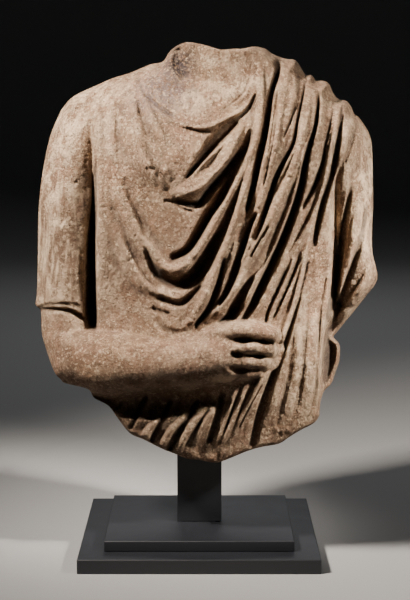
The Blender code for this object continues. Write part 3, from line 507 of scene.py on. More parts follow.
def with_hand(u, w, proud):
    """The surface with the palm's dome and the four fingers laid on it, and the gaps cut."""
    inside = 1 - ((u - PALM_CENTRE[0]) / PALM_SIZE[0]) ** 2 - ((w - PALM_CENTRE[1]) / PALM_SIZE[1]) ** 2
    proud = merged(proud, PALM_PROUD * np.sqrt(np.clip(inside, 0, 1)), PALM_BLEND)
    for finger in FINGERS:
        proud = merged(proud, limb(u, w, *finger), FINGER_BLEND)
    for points, width, depth in FINGER_GAPS:
        proud = proud - mark(u, w, points, width, width, depth)
    return proud


# %% [markdown]
# ## Where the front meets the back
# All round the outline the two sides round over to a shared rim. On skin and cloth that takes forty
# or fifty millimetres. On a broken edge it takes five, which is what makes a break look broken.

# %% Stations round the outline: u, w, how far back the rim lies, front rounding, back rounding
RIM = [(-190, 645, 5, 60, 60), (-225, 560, 0, 50, 55), (-233, 470, -5, 42, 50), (-237, 370, -15, 40, 50),
       (-225, 290, -35, 40, 50), (-203, 243, -55, 32, 60), (-165, 228, -75, 16, 60), (-115, 175, -72, 6, 60),
       (-60, 141, -84, 5, 60), (20, 118, -88, 5, 60), (95, 143, -86, 5, 60), (150, 168, -80, 5, 60),
       (178, 205, -40, 6, 50), (190, 232, -14, 7, 45), (203, 262, 8, 9, 40), (196, 307, 0, 8, 40),
       (228, 348, -12, 16, 40), (257, 396, -20, 16, 45), (250, 500, 0, 45, 55), (245, 600, 0, 50, 60),
       (215, 640, 0, 34, 50),
       (170, 678, 0, 34, 50), (130, 708, 5, 30, 45), (95, 722, 0, 14, 40), (60, 723, -38, 5, 30),
       (20, 725, -46, 4, 30), (-25, 728, -40, 6, 30), (-45, 712, -22, 10, 30), (-70, 701, -5, 40, 45),
       (-120, 682, 0, 55, 55)]
RIM_REACH = 80.0


def rim_values(u, w):
    """Rim depth and front and back roundings near each place: the stations' values, weighed by
    nearness."""
    weight = [((u - s[0]) ** 2 + (w - s[1]) ** 2 + 60.0) ** -2 for s in RIM]
    total = sum(weight)
    return [sum(k * s[i] for k, s in zip(weight, RIM)) / total for i in (2, 3, 4)]


def rim_distance(u, w):
    """How far inside the outline each place lies, up to twice RIM_REACH."""
    line = np.vstack([smooth_line(TOP_EDGE), smooth_line(RIGHT_SIDE)[::-1][1:],
                      smooth_line(BOTTOM_EDGE)[::-1][1:], smooth_line(LEFT_SIDE)[1:]])
    return np.abs(nearest_on(u, w, line, RIM_REACH)[0])


def rounding(inside, radius):
    """A quarter circle: 0 at the rim, 1 from radius inwards."""
    return np.sqrt(np.clip(1 - (1 - np.clip(inside / radius, 0, 1)) ** 2, 0, 1))


# %% [markdown]
# ## Wear
# Sandstone that lay in the ground is never smooth. Soft grains wear out and leave shallow dips and
# small pits, and the sharp folds lose chips. Random heights on a coarse lattice, blended smoothly,
# give dips of any size. Adding several sizes looks natural, where one size alone looks like hammering.

# %% Lattice noise


def lattice_noise(u, w, cell, seed):
    """Smooth random heights from -1 to 1: random numbers on a square lattice, blended between the
    four corners round each place with the S curve t * t * (3 - 2 * t)."""
    table = np.random.default_rng(seed).uniform(-1, 1, (256, 256))
    a, b = u / cell + 100.0, w / cell + 50.0
    i, j = np.floor(a).astype(int), np.floor(b).astype(int)
    s, t = a - i, b - j
    s, t = s * s * (3 - 2 * s), t * t * (3 - 2 * t)
    i0, i1, j0, j1 = i % 256, (i + 1) % 256, j % 256, (j + 1) % 256
    low = table[j0, i0] * (1 - s) + table[j0, i1] * s
    high = table[j1, i0] * (1 - s) + table[j1, i1] * s
    return low * (1 - t) + high * t


# Cell size in millimetres, height and seed of each draw
DIPS = [(31.0, 0.8, 11), (13.0, 0.36, 12), (6.0, 0.28, 13), (3.1, 0.3, 14)]
BROKEN_DIPS = [(15.0, 2.4, 21), (7.0, 1.6, 22), (3.4, 0.8, 23)]
PIT_CELL = 4.4
PIT_SEED = 15
PIT_LEVEL = 0.62
PIT_DEPTH = 3.2
CHIPS = [(12.0, 1.0, 31), (4.0, 0.35, 32)]
CHIP_LEVELS = (0.42, 0.62)
CHIP_LOSS = 0.2


def worn_by(u, w, broken):
    """How much the wear raises or lowers the surface: dips of four sizes and small pits, with
    rougher dips where the stone is broken."""
    total = sum(size * lattice_noise(u, w, cell, seed) for cell, size, seed in DIPS)
    total = total - PIT_DEPTH * np.clip(lattice_noise(u, w, PIT_CELL, PIT_SEED) - PIT_LEVEL, 0, 1)
    return total + broken * sum(size * lattice_noise(u, w, cell, seed) for cell, size, seed in BROKEN_DIPS)


def chipped(u, w):
    """1 where a fold's crest is whole, less where a chip has left it."""
    lost = sum(size * lattice_noise(u, w, cell, seed) for cell, size, seed in CHIPS)
    return 1 - CHIP_LOSS * ramp(lost, *CHIP_LEVELS)


# %% Broken places: centre, size, and how rough
BREAKS = [((20, 728), (70, 14), 1.0), ((230, 350), (30, 46), 1.6), ((-60, 138), (70, 14), 1.0),
          ((60, 122), (90, 16), 1.0), ((176, 420), (20, 26), 0.8), ((150, 566), (10, 16), 0.6),
          ((150, 190), (18, 16), 1.3), ((120, 160), (20, 14), 1.3), ((-32, 710), (18, 20), 1.3)]


def broken_places(u, w):
    """How broken the surface is at each place, from 0 to about 1."""
    total = sum(swell(u, w, centre, size, rough) for centre, size, rough in BREAKS)
    return np.clip(total, 0, 1.5)


print("breaks", len(BREAKS))

# %% [markdown]
# ## The front and the back as depths
# Everything above comes together in two formulas: how far behind the sheet the front surface lies, and
# how far the back does. The back of the stone can't be seen in the picture, so it gets the mantle's
# long diagonal folds, kept plain.

# %% The panel's hollow side and the sleeve's hem
PANEL_EDGE = [(180, 179), (220, 178), (265, 175), (320, 181), (376, 188), (400, 192)]
PANEL_WALL = 5.0
RECESS_PROUD = 14.0
RECESS_DIP = 14.0
DIP_FROM_RIM = (3, 11)
# The recess is counted as a cut this deep, this far in from its rim, so that it is painted dark as the
# panel's shade.
SHADE_FROM_RIM = (2, 8)
RECESS_PAINTED_SHADE = 27.0
RECESS_BOTTOM = (192, 240)
RECESS_TOP = 345.0
RECESS_FADE = 30.0
RECESS_SLACK = 4.0
CALM_RIM = (0, 6)
BARE_RIM = (0, 5)
HEM = [(-242, 350), (-239, 352), (-221, 357), (-200, 359), (-181, 358), (-173, 354), (-165, 346)]
HEM_PROUD = 4.5
HEM_STEP = (-2.0, 1.0)
HEM_FADE = (20, 110)
HEM_END = (-176, -168)

# %% Folds of the mantle across the back: path, width and height
BACK_FOLD_COUNT = 11
BACK_FOLD_START = ((120, 700), (222, 450))
BACK_FOLD_END = ((-175, 600), (-5, 150))
BACK_FOLD_SAG = (14, -24)
BACK_FOLD_WIDTHS = (15, 10)
BACK_FOLD_HEIGHTS = (9, 6)
WIDTH_ON_THE_WAY = (0.7, 1.0, 1.1)
HEIGHT_ON_THE_WAY = (0.7, 1.0, 0.8)
BACK_FOLD_ARCH = (0.8, 0.3)
BACK_WEAR_SHIFT = 300.0

# %% The two depths


def front_depth(u, w):
    """How far behind the sheet the front surface lies, so proud parts are negative, and how deep the
    carver's cuts are there, with the recess beside the panel counted as a deep cut so that it is painted dark
    as shade."""
    rim, front_round, _ = rim_values(u, w)
    inside = rim_distance(u, w)
    cloth, hollows = drapery(u, w)
    shows = cloth_shows(u, w) * ramp(inside, *BARE_RIM)
    crests = np.clip(cloth, 0, None) * chipped(u, w)
    proud = bare_front(u, w) + (crests + np.clip(cloth, None, 0)) * shows
    hem = np.interp(u, *np.transpose(HEM))
    sleeve = ramp(w - hem, *HEM_STEP) * (1 - ramp(w - hem, *HEM_FADE)) * (1 - ramp(u, *HEM_END))
    proud += HEM_PROUD * sleeve
    proud = with_hand(u, w, proud)
    edge = smooth_line(PANEL_EDGE)
    past_edge = u - np.interp(w, edge[:, 0], edge[:, 1])
    wall = 1 - np.exp(-np.clip(past_edge, 0, None) / PANEL_WALL)
    recess = wall * ramp(w, *RECESS_BOTTOM) * ramp(RECESS_TOP - w, 0, RECESS_FADE)
    recess_floor = RECESS_PROUD - RECESS_DIP * recess * ramp(inside, *DIP_FROM_RIM)
    proud = np.maximum(proud * (1 - recess) + recess * recess_floor, recess_floor - RECESS_SLACK)
    proud = proud + worn_by(u, w, broken_places(u, w)) * ramp(inside, *CALM_RIM)
    # The recess's share here carves nothing: it only paints the recess dark as shade.
    cuts = np.maximum(hollows * shows, RECESS_PAINTED_SHADE * recess * ramp(inside, *SHADE_FROM_RIM))
    return rim - (proud + rim) * rounding(inside, front_round), cuts


def back_folds():
    """The mantle's folds across the back: path, width and height. They fan out evenly from one shoulder
    to the other side, sag a little on the way, and every second one is smaller."""
    folds = []
    for k, fan in enumerate(np.linspace(0, 1, BACK_FOLD_COUNT)):
        start = (1 - fan) * np.array(BACK_FOLD_START[0]) + fan * np.array(BACK_FOLD_START[1])
        end = (1 - fan) * np.array(BACK_FOLD_END[0]) + fan * np.array(BACK_FOLD_END[1])
        sag = np.array(BACK_FOLD_SAG)
        path = [start, start + (end - start) / 3 + sag, start + (end - start) * 2 / 3 + sag, end]
        wide, high = BACK_FOLD_WIDTHS[k % 2], BACK_FOLD_HEIGHTS[k % 2]
        folds.append((path, [wide * s for s in WIDTH_ON_THE_WAY], [high * s for s in HEIGHT_ON_THE_WAY]))
    return folds


def back_depth(u, w):
    """How far behind the sheet the back surface lies."""
    rim, _, back_round = rim_values(u, w)
    behind = at_height(w, TRUNK_BACK) * across_trunk(u, BACK_MIDDLE, BACK_HALF)
    folds = np.zeros(u.shape)
    for points, width, size in back_folds():
        folds = np.maximum(folds, mark(u, w, points, width, width, size, *BACK_FOLD_ARCH))
    behind = behind + folds
    behind = merged(behind, limb(u, w, UPPER_ARM[0], UPPER_ARM[1], UPPER_ARM_BEHIND), COVERED_BLEND)
    behind = merged(behind, limb(u, w, COVERED_ARM[0], COVERED_ARM[1], COVERED_ARM_BEHIND), COVERED_BLEND)
    inside = rim_distance(u, w)
    behind = np.maximum(behind, LEAST_BEHIND) + worn_by(u + BACK_WEAR_SHIFT, w, 0.0) * ramp(inside, *CALM_RIM)
    return rim + (behind - rim) * rounding(inside, back_round)


# %% [markdown]
# ## From net to mesh
# The net's straight rows run between the two sides, and above and below them the rows bend towards the
# top and bottom edges. Near the outline the columns and rows close in, so the rounding stays smooth.
# The front and the back use the same net and share its outer ring of points, which closes the skin.

# %% The net
COLUMN_STEP = 1.45
ROW_STEP = 1.75
HALF_ROW = 215.0
STRAIGHT_ROWS = 415.0
BENDING_ROWS = 95.0
CLOSE_TO_RIM = (5.0, 7)


def closing_in(length, step, margin, count):
    """Stations from 0 to 1 over a length, evenly spaced, but ever closer within margin of the far end."""
    even = np.linspace(0, length - margin, int(length / step), endpoint=False)
    return np.concatenate([even, length - margin * (np.arange(count + 1)[::-1] / count) ** 2]) / length


def drawing_net(column_step, row_step):
    """The net of places on the sheet: straight rows between the two sides, and above and below them
    rows that bend towards the top and bottom edges."""
    left, right = smooth_line(LEFT_SIDE), smooth_line(RIGHT_SIDE)
    top, bottom = smooth_line(TOP_EDGE), smooth_line(BOTTOM_EDGE)
    half = closing_in(HALF_ROW, column_step, *CLOSE_TO_RIM)
    across = np.concatenate([0.5 - 0.5 * half[::-1], 0.5 + 0.5 * half[1:]])
    t = np.linspace(0, 1, int(STRAIGHT_ROWS / row_step))
    wl = left[0, 1] + (left[-1, 1] - left[0, 1]) * t
    wr = right[0, 1] + (right[-1, 1] - right[0, 1]) * t
    ul, ur = np.interp(wl, left[:, 1], left[:, 0]), np.interp(wr, right[:, 1], right[:, 0])
    u = ul[:, None] + (ur - ul)[:, None] * across
    w = wl[:, None] + (wr - wl)[:, None] * across
    up = closing_in(BENDING_ROWS, row_step, *CLOSE_TO_RIM)[1:, None]
    above = w[-1] + (np.interp(u[-1], top[:, 0], top[:, 1]) - w[-1]) * up
    below = w[0] + (np.interp(u[0], bottom[:, 0], bottom[:, 1]) - w[0]) * up[::-1]
    u = np.vstack([np.repeat(u[:1], len(up), 0), u, np.repeat(u[-1:], len(up), 0)])
    return u, np.vstack([below, w, above])


def into_block(u, w, depth):
    """From the sheet along the eye's sight line to a depth, in drawing millimetres."""
    reach = 1 + depth / EYE_AWAY
    return np.stack([EYE_U + (u - EYE_U) * reach, depth, EYE_W + (w - EYE_W) * reach], -1)


def skin(column_step, row_step):
    """Points and four-sided faces of the closed skin: a front and a back net sewn at the outline."""
    u, w = drawing_net(column_step, row_step)
    sewn = np.zeros(u.shape, bool)
    sewn[0] = sewn[-1] = sewn[:, 0] = sewn[:, -1] = True
    rim = rim_values(u, w)[0]
    front = np.where(sewn, rim, front_depth(u, w)[0])
    back = np.maximum(back_depth(u, w), front + np.minimum(LEAST_THICKNESS, rim_distance(u, w)))
    points = np.vstack([into_block(u, w, front).reshape(-1, 3), into_block(u, w, back)[~sewn]])
    front_index = np.arange(u.size).reshape(u.shape)
    back_index = front_index.copy()
    back_index[~sewn] = u.size + np.arange((~sewn).sum())

    def squares(index):
        corners = [index[:-1, :-1], index[:-1, 1:], index[1:, 1:], index[1:, :-1]]
        return np.stack(corners, -1).reshape(-1, 4)

    return points, np.vstack([squares(front_index), squares(back_index)[:, ::-1]])


coarseness = 1.0
points, faces = skin(COLUMN_STEP * coarseness, ROW_STEP * coarseness)
print("net points", len(points), "squares", len(faces))

# %% [markdown]
# ## The stone as one piece
# The net is far finer than calm places need, so a modifier takes points away where the surface is
# nearly flat. The post's socket is cut out of the underside last, to the same size as in the model.

# %% Make the mesh, thin it and cut the socket
TRIANGLES = 190000
SOCKET_GAP = 0.0003


def baked(piece, name):
    """A plain mesh of the piece as its modifiers leave it. The piece itself is removed."""
    depsgraph = bpy.context.evaluated_depsgraph_get()
    mesh = bpy.data.meshes.new_from_object(piece.evaluated_get(depsgraph))
    bpy.data.objects.remove(piece)
    mesh.name = name
    return mesh


def put(name, mesh):
    """Put a mesh in the scene under its own name."""
    piece = bpy.data.objects.new(name, mesh)
    bpy.context.collection.objects.link(piece)
    return piece


placed = points * MM
placed[:, 2] += LIFT * MM
rough_mesh = bpy.data.meshes.new("rough_stone")
rough_mesh.from_pydata(placed.tolist(), [], faces.tolist())
bm = bmesh.new()
bm.from_mesh(rough_mesh)
bmesh.ops.remove_doubles(bm, verts=bm.verts, dist=0.00002)
bmesh.ops.triangulate(bm, faces=bm.faces)
triangle_count = len(bm.faces)
bm.to_mesh(rough_mesh)
bm.free()

rough = put("rough_stone", rough_mesh)
thin = rough.modifiers.new("fewer_facets", "DECIMATE")
thin.ratio = TRIANGLES / triangle_count

post_low, post_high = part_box("stand_post")
bm = bmesh.new()
bmesh.ops.create_cube(bm, size=1.0)
size = Vector(post_high) - Vector(post_low) + Vector((2 * SOCKET_GAP, 2 * SOCKET_GAP, 2 * SOCKET_GAP))
bmesh.ops.scale(bm, vec=size, verts=bm.verts)
bmesh.ops.translate(bm, vec=(Vector(post_low) + Vector(post_high)) / 2, verts=bm.verts)
cutter_mesh = bpy.data.meshes.new("socket_cutter")
bm.to_mesh(cutter_mesh)
bm.free()
cutter = put("socket_cutter", cutter_mesh)
cut = rough.modifiers.new("post_socket", "BOOLEAN")
cut.operation = "DIFFERENCE"
cut.object = cutter

torso_mesh = baked(rough, "torso_skin")
bpy.data.objects.remove(cutter)
torso_mesh.shade_smooth()
torso = put("torso_skin", torso_mesh)
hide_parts("torso")
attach(torso, "root")
print("stone triangles", triangle_count, "then", sum(len(p.vertices) - 2 for p in torso_mesh.polygons))

# %% [markdown]
# ## What the paint of time and the painted shade need to know
# Dust and painted shade darken the cuts, crests are painted paler for wear and as a painted highlight, and
# sides turned right and down, away from the key light, get painted shade. So each point of the finished
# skin is traced back to the drawing, and four numbers are stored on the mesh for the material to read: how
# deep in a cut it lies, how much it is a crest, how broken the stone is there, and how far it turns away
# from the key light. A map painted by hand would do the same, but wouldn't follow a change of the folds.

# %% What is stored on the mesh: reaches and slacks in millimetres
NEAR_REACH = 7.0
BROAD_REACH = 15.0
# The dark in cuts and sunk places is partly dust and partly painted shade.
CUT_DUST_AND_SHADE = (6.0, 28.0)
NEAR_DUST_AND_SHADE = (0.8, 5.0)
NEAR_DUST_AND_SHADE_SHARE = 0.75
BROAD_DUST_AND_SHADE = (0.5, 4.0)
BROAD_DUST_AND_SHADE_SHARE = 0.45
# Crests are painted paler, partly for wear and partly as a painted highlight.
NEAR_WEAR_AND_HIGHLIGHT = (0.4, 3.0)
BROAD_WEAR_AND_HIGHLIGHT = (0.8, 3.5)
BROAD_WEAR_AND_HIGHLIGHT_SHARE = 0.8
# Surfaces turned right and down, away from the key light, are painted with shade.
SHADED_SIDE = (0.6, -0.1, -0.8)
SHADED_FROM = (0.05, 0.8)
FRONT_SLACK = 6.0


def sheet_places(mesh):
    """Where each point of the mesh lies on the drawing: the sight line run backwards, with
    u = EYE_U + (x - EYE_U) / reach and reach = 1 + depth / EYE_AWAY. Also its depth."""
    flat = np.empty(len(mesh.vertices) * 3)
    mesh.vertices.foreach_get("co", flat)
    x, y, z = (flat.reshape(-1, 3) / MM).T
    reach = 1 + y / EYE_AWAY
    return EYE_U + (x - EYE_U) / reach, EYE_W + (z - LIFT - EYE_W) / reach, y


def store(mesh, name, values):
    """Keep one number for every point of the mesh under a name."""
    layer = mesh.attributes.new(name, "FLOAT", "POINT")
    layer.data.foreach_set("value", np.ascontiguousarray(values, np.float32))


def sunk_by(u, w, reach, directions=6):
    """How far the cloth lies below its surroundings: the mean of its height at places all round, a
    given reach away, less its own height. Below zero on a crest."""
    turns = np.arange(directions) * 2 * math.pi / directions
    ring = [drapery(u + reach * math.cos(a), w + reach * math.sin(a))[0] for a in turns]
    return (sum(ring) / directions - drapery(u, w)[0]) * cloth_shows(u, w)


def turned_to(mesh, direction):
    """How far each point's surface turns to a direction: the cosine of the angle between them."""
    flat = np.empty(len(mesh.vertices) * 3, np.float32)
    mesh.vertex_normals.foreach_get("vector", flat)
    direction = np.array(direction) / np.linalg.norm(direction)
    return flat.reshape(-1, 3) @ direction


u, w, y = sheet_places(torso_mesh)
depth, hollow = front_depth(u, w)
on_front = np.clip(1 - np.abs(y - depth) / FRONT_SLACK, 0, 1)
sunk, sunk_broadly = sunk_by(u, w, NEAR_REACH), sunk_by(u, w, BROAD_REACH)
# Painted shade and dust: the deeper the cut or the more sunk the place, the darker it is painted.
dust_and_shade = np.maximum(ramp(hollow, *CUT_DUST_AND_SHADE), NEAR_DUST_AND_SHADE_SHARE * ramp(sunk, *NEAR_DUST_AND_SHADE))
dust_and_shade = np.maximum(dust_and_shade, BROAD_DUST_AND_SHADE_SHARE * ramp(sunk_broadly, *BROAD_DUST_AND_SHADE))
# Crests painted paler: partly wear, partly a painted highlight.
wear_and_highlight = np.maximum(ramp(-sunk, *NEAR_WEAR_AND_HIGHLIGHT), BROAD_WEAR_AND_HIGHLIGHT_SHARE * ramp(-sunk_broadly, *BROAD_WEAR_AND_HIGHLIGHT))
store(torso_mesh, "hollow", dust_and_shade * on_front)
store(torso_mesh, "crest", wear_and_highlight * on_front)
store(torso_mesh, "broken", broken_places(u, w) * on_front)
# Painted shade: how far each point turns away from the key light.
store(torso_mesh, "shaded_side", ramp(turned_to(torso_mesh, SHADED_SIDE), *SHADED_FROM))
print("deepest cut in mm", round(float(hollow.max()), 1))

# %% [markdown]
# ## Node groups for the finishes
# The stone's look is many thin layers: a warm ground colour, browner patches, cream lime crusts, dust in
# the cuts, pits and grains. Each kind of layer is one small group with named inputs, built once and
# used several times with other sizes. The groups put out masks only, and the material decides what
# they do to the colour and the height.

# %% Helpers for node groups


def node(tree, kind, inputs=None, **settings):
    """A node with its settings. Inputs are numbers or other nodes' sockets, by name or by place."""
    made = tree.nodes.new(kind)
    for key, value in settings.items():
        setattr(made, key, value)
    for key, value in (inputs or {}).items():
        if isinstance(value, bpy.types.NodeSocket):
            tree.links.new(value, made.inputs[key])
        else:
            made.inputs[key].default_value = value
    return made


def maths(tree, operation, *values):
    """One operation on two or three values."""
    return node(tree, "ShaderNodeMath", dict(enumerate(values)), operation=operation).outputs[0]


def times(tree, a, b):
    """Two values multiplied."""
    return maths(tree, "MULTIPLY", a, b)


def eased(tree, value, low, high, start=0.0, end=1.0):
    """A value that goes from start to end along an S curve while another goes from low to high."""
    return node(tree, "ShaderNodeMapRange",
                {"Value": value, "From Min": low, "From Max": high, "To Min": start, "To Max": end},
                interpolation_type="SMOOTHSTEP").outputs["Result"]


def mask_group(name, inputs):
    """A node group that puts out one mask. An input whose default is None is a place or a direction.
    Returns the group, the sockets of its inputs, and the socket that takes the mask."""
    group = bpy.data.node_groups.new(name, "ShaderNodeTree")
    for label, value in inputs.items():
        kind = "NodeSocketVector" if value is None else "NodeSocketFloat"
        socket = group.interface.new_socket(label, in_out="INPUT", socket_type=kind)
        if value is not None:
            socket.default_value = value
    group.interface.new_socket("Mask", in_out="OUTPUT", socket_type="NodeSocketFloat")
    given = group.nodes.new("NodeGroupInput").outputs
    return group, given, group.nodes.new("NodeGroupOutput").inputs["Mask"]


# %% Patches: soft-edged islands of any size
PATCH_EDGE = (-0.5, 0.75)
patches, given, mask = mask_group("patches", {"Coordinates": None, "Size": 0.03, "Cover": 0.5,
                                              "Softness": 0.1, "Roughness": 0.6, "Which": 0.0})
noise = node(patches, "ShaderNodeTexNoise",
             {"Vector": given["Coordinates"], "W": given["Which"],
              "Scale": maths(patches, "DIVIDE", 1.0, given["Size"]),
              "Detail": 6.0, "Roughness": given["Roughness"]}, noise_dimensions="4D")
edge = maths(patches, "MULTIPLY_ADD", given["Cover"], *PATCH_EDGE)
low = maths(patches, "SUBTRACT", edge, given["Softness"])
high = maths(patches, "ADD", edge, given["Softness"])
patches.links.new(eased(patches, noise.outputs["Fac"], low, high), mask)

# %% Pits: scattered round holes of many sizes
PIT_RADIUS = (0.28, 0.12)
pits, given, mask = mask_group("pits", {"Coordinates": None, "Size": 0.004, "Share": 0.4})
cells = node(pits, "ShaderNodeTexVoronoi", {"Vector": given["Coordinates"],
                                            "Scale": maths(pits, "DIVIDE", 1.0, given["Size"])})
draws = node(pits, "ShaderNodeSeparateColor", {"Color": cells.outputs["Color"]}).outputs
kept = maths(pits, "LESS_THAN", draws[0], given["Share"])
radius = maths(pits, "MULTIPLY_ADD", draws[1], *PIT_RADIUS)
pits.links.new(times(pits, eased(pits, cells.outputs["Distance"], 0.0, radius, 1.0, 0.0), kept), mask)

# %% Around: a soft mask round one place
around, given, mask = mask_group("around", {"Coordinates": None, "Centre": None, "Inner": 0.03, "Outer": 0.1})
away = node(around, "ShaderNodeVectorMath", {0: given["Coordinates"], 1: given["Centre"]},
            operation="DISTANCE")
around.links.new(eased(around, away.outputs["Value"], given["Inner"], given["Outer"], 1.0, 0.0), mask)
print("node groups", sorted(g.name for g in bpy.data.node_groups))

# %% [markdown]
# ## The stone's finish
# The ground is a pinkish tan. Where lime has settled it's cream, and where iron has come out it's brown;
# some brown places are painted shade, as under the forearm, and sides turned away from the key light get
# painted shade too. The cuts and pits are painted dark, partly for dust and partly as painted shade, and
# crests are painted paler, partly for wear and partly as a painted highlight. The mesh carries the cuts'
# depth, so the dark follows the carving.

# %% The stone's colours
GROUND = (0.355, 0.215, 0.125, 1)
BROWN = (0.115, 0.066, 0.040, 1)
ROSE = (0.33, 0.175, 0.115, 1)
CREAM = (0.75, 0.56, 0.375, 1)
# Dark dust, also used as painted shade in the cuts and the pits.
DUST_AND_SHADE = (0.040, 0.031, 0.026, 1)
GRAIN = (0.070, 0.042, 0.028, 1)
LICHEN = (0.055, 0.042, 0.042, 1)
HAZE = (0.19, 0.15, 0.155, 1)

# %% Its patches in metres: size, cover, softness, roughness, and which draw of the noise
STONE_PATCHES = {
    "brown": (0.11, 0.50, 0.16, 0.6, 1.0),
    "rose": (0.06, 0.45, 0.14, 0.6, 2.0),
    "mottle": (0.013, 0.50, 0.06, 0.8, 3.0),
    "specks": (0.0034, 0.36, 0.05, 0.6, 4.0),
    "grains": (0.0026, 0.32, 0.05, 0.6, 11.0),
    "crust": (0.028, 0.42, 0.07, 0.72, 6.0),
    "flecks": (0.007, 0.34, 0.045, 0.7, 10.0),
    "lichen": (0.004, 0.55, 0.05, 0.6, 7.0),
}
STREAKS = (0.012, 0.40, 0.12, 0.6, 5.0)
STREAK_SQUASH = (1.0, 1.0, 0.22)
STAINS = [("brown", BROWN, 0.55), ("rose", ROSE, 0.5), ("mottle", BROWN, 0.58), ("specks", CREAM, 0.58),
          ("grains", GRAIN, 0.62)]

# %% Places in metres: centre, inner and outer radius, and strength
LIME_PLACES = [((-0.235, -0.03, 0.47), 0.05, 0.20, 1.0), ((-0.19, -0.04, 0.65), 0.03, 0.16, 1.0),
               ((0.25, -0.02, 0.50), 0.03, 0.16, 1.0), ((0.17, -0.10, 0.29), 0.04, 0.13, 0.8),
               ((0.03, -0.08, 0.68), 0.03, 0.10, 0.8), ((0.13, -0.12, 0.155), 0.01, 0.05, 0.9),
               ((0.06, -0.15, 0.30), 0.02, 0.07, 0.6), ((0.18, -0.08, 0.62), 0.02, 0.09, 0.5)]
# Brown places: partly iron stains, partly painted shade, such as the one under the forearm at (-0.05, -0.15,
# 0.225).
IRON_AND_SHADE_PLACES = [((-0.165, -0.07, 0.43), 0.03, 0.14, 0.9), ((0.03, -0.16, 0.28), 0.008, 0.04, 0.85),
               ((-0.03, -0.12, 0.40), 0.05, 0.17, 0.5), ((-0.05, -0.15, 0.225), 0.03, 0.14, 0.75),
               ((0.08, -0.14, 0.44), 0.02, 0.08, 0.4)]
NECK_PLACES = [((-0.028, -0.06, 0.703), 0.004, 0.036, 0.95)]
BELOW_NECK_PLACES = [((-0.055, -0.08, 0.668), 0.01, 0.07, 0.55)]

# %% How strong the lime, the crests' wear and painted highlight, and the painted shade on the turned-away sides are: a mask's factor and what is added to it
LIME_SHARE = (0.62, 0.16)
WEAR_AND_HIGHLIGHT_SHARE = (0.5, 0.12)
SIDE_SHADE_SHARE = (0.5, 0.3)
FLECK_SHARE = 0.28
# Shares of the dark in the cuts and the pits: partly dust, partly painted shade.
CUT_DUST_AND_SHADE_SHARE = 0.8
HOLE_DUST_AND_SHADE_SHARE = 0.75
BUMP_DEPTH = 0.0052


def use(tree, group, **values):
    """A node group placed in a tree with its own values. Returns its only output."""
    return node(tree, "ShaderNodeGroup", values, node_tree=group).outputs[0]


def patch_mask(tree, here, size, cover, softness, roughness, which):
    """One mask of soft-edged islands."""
    return use(tree, patches, Coordinates=here, Size=size, Cover=cover, Softness=softness,
               Roughness=roughness, Which=which)


def tinted(tree, colour, tint, share):
    """One colour laid over another by a share from 0 to 1."""
    made = node(tree, "ShaderNodeMix", {"Factor": share, "A": colour, "B": tint}, data_type="RGBA")
    return made.outputs["Result"]


def stored(tree, name):
    """The number stored on the mesh under a name."""
    return node(tree, "ShaderNodeAttribute", attribute_name=name).outputs["Fac"]


def near_any(tree, here, places):
    """A soft mask round several places: the strongest of them counts."""
    total = 0.0
    for centre, inner, outer, strength in places:
        near = use(tree, around, Coordinates=here, Centre=centre, Inner=inner, Outer=outer)
        total = maths(tree, "MAXIMUM", times(tree, near, strength), total)
    return total


def summed(tree, heights):
    """Several heights added up, each times its factor."""
    total = 0.0
    for height, factor in heights:
        total = maths(tree, "MULTIPLY_ADD", height, factor, total)
    return total


def new_finish(name):
    """A material. Returns it with its node tree, its shader and the Object coordinates."""
    made = bpy.data.materials.new(name)
    made.use_nodes = True
    tree = made.node_tree
    return made, tree, tree.nodes["Principled BSDF"], node(tree, "ShaderNodeTexCoord").outputs["Object"]


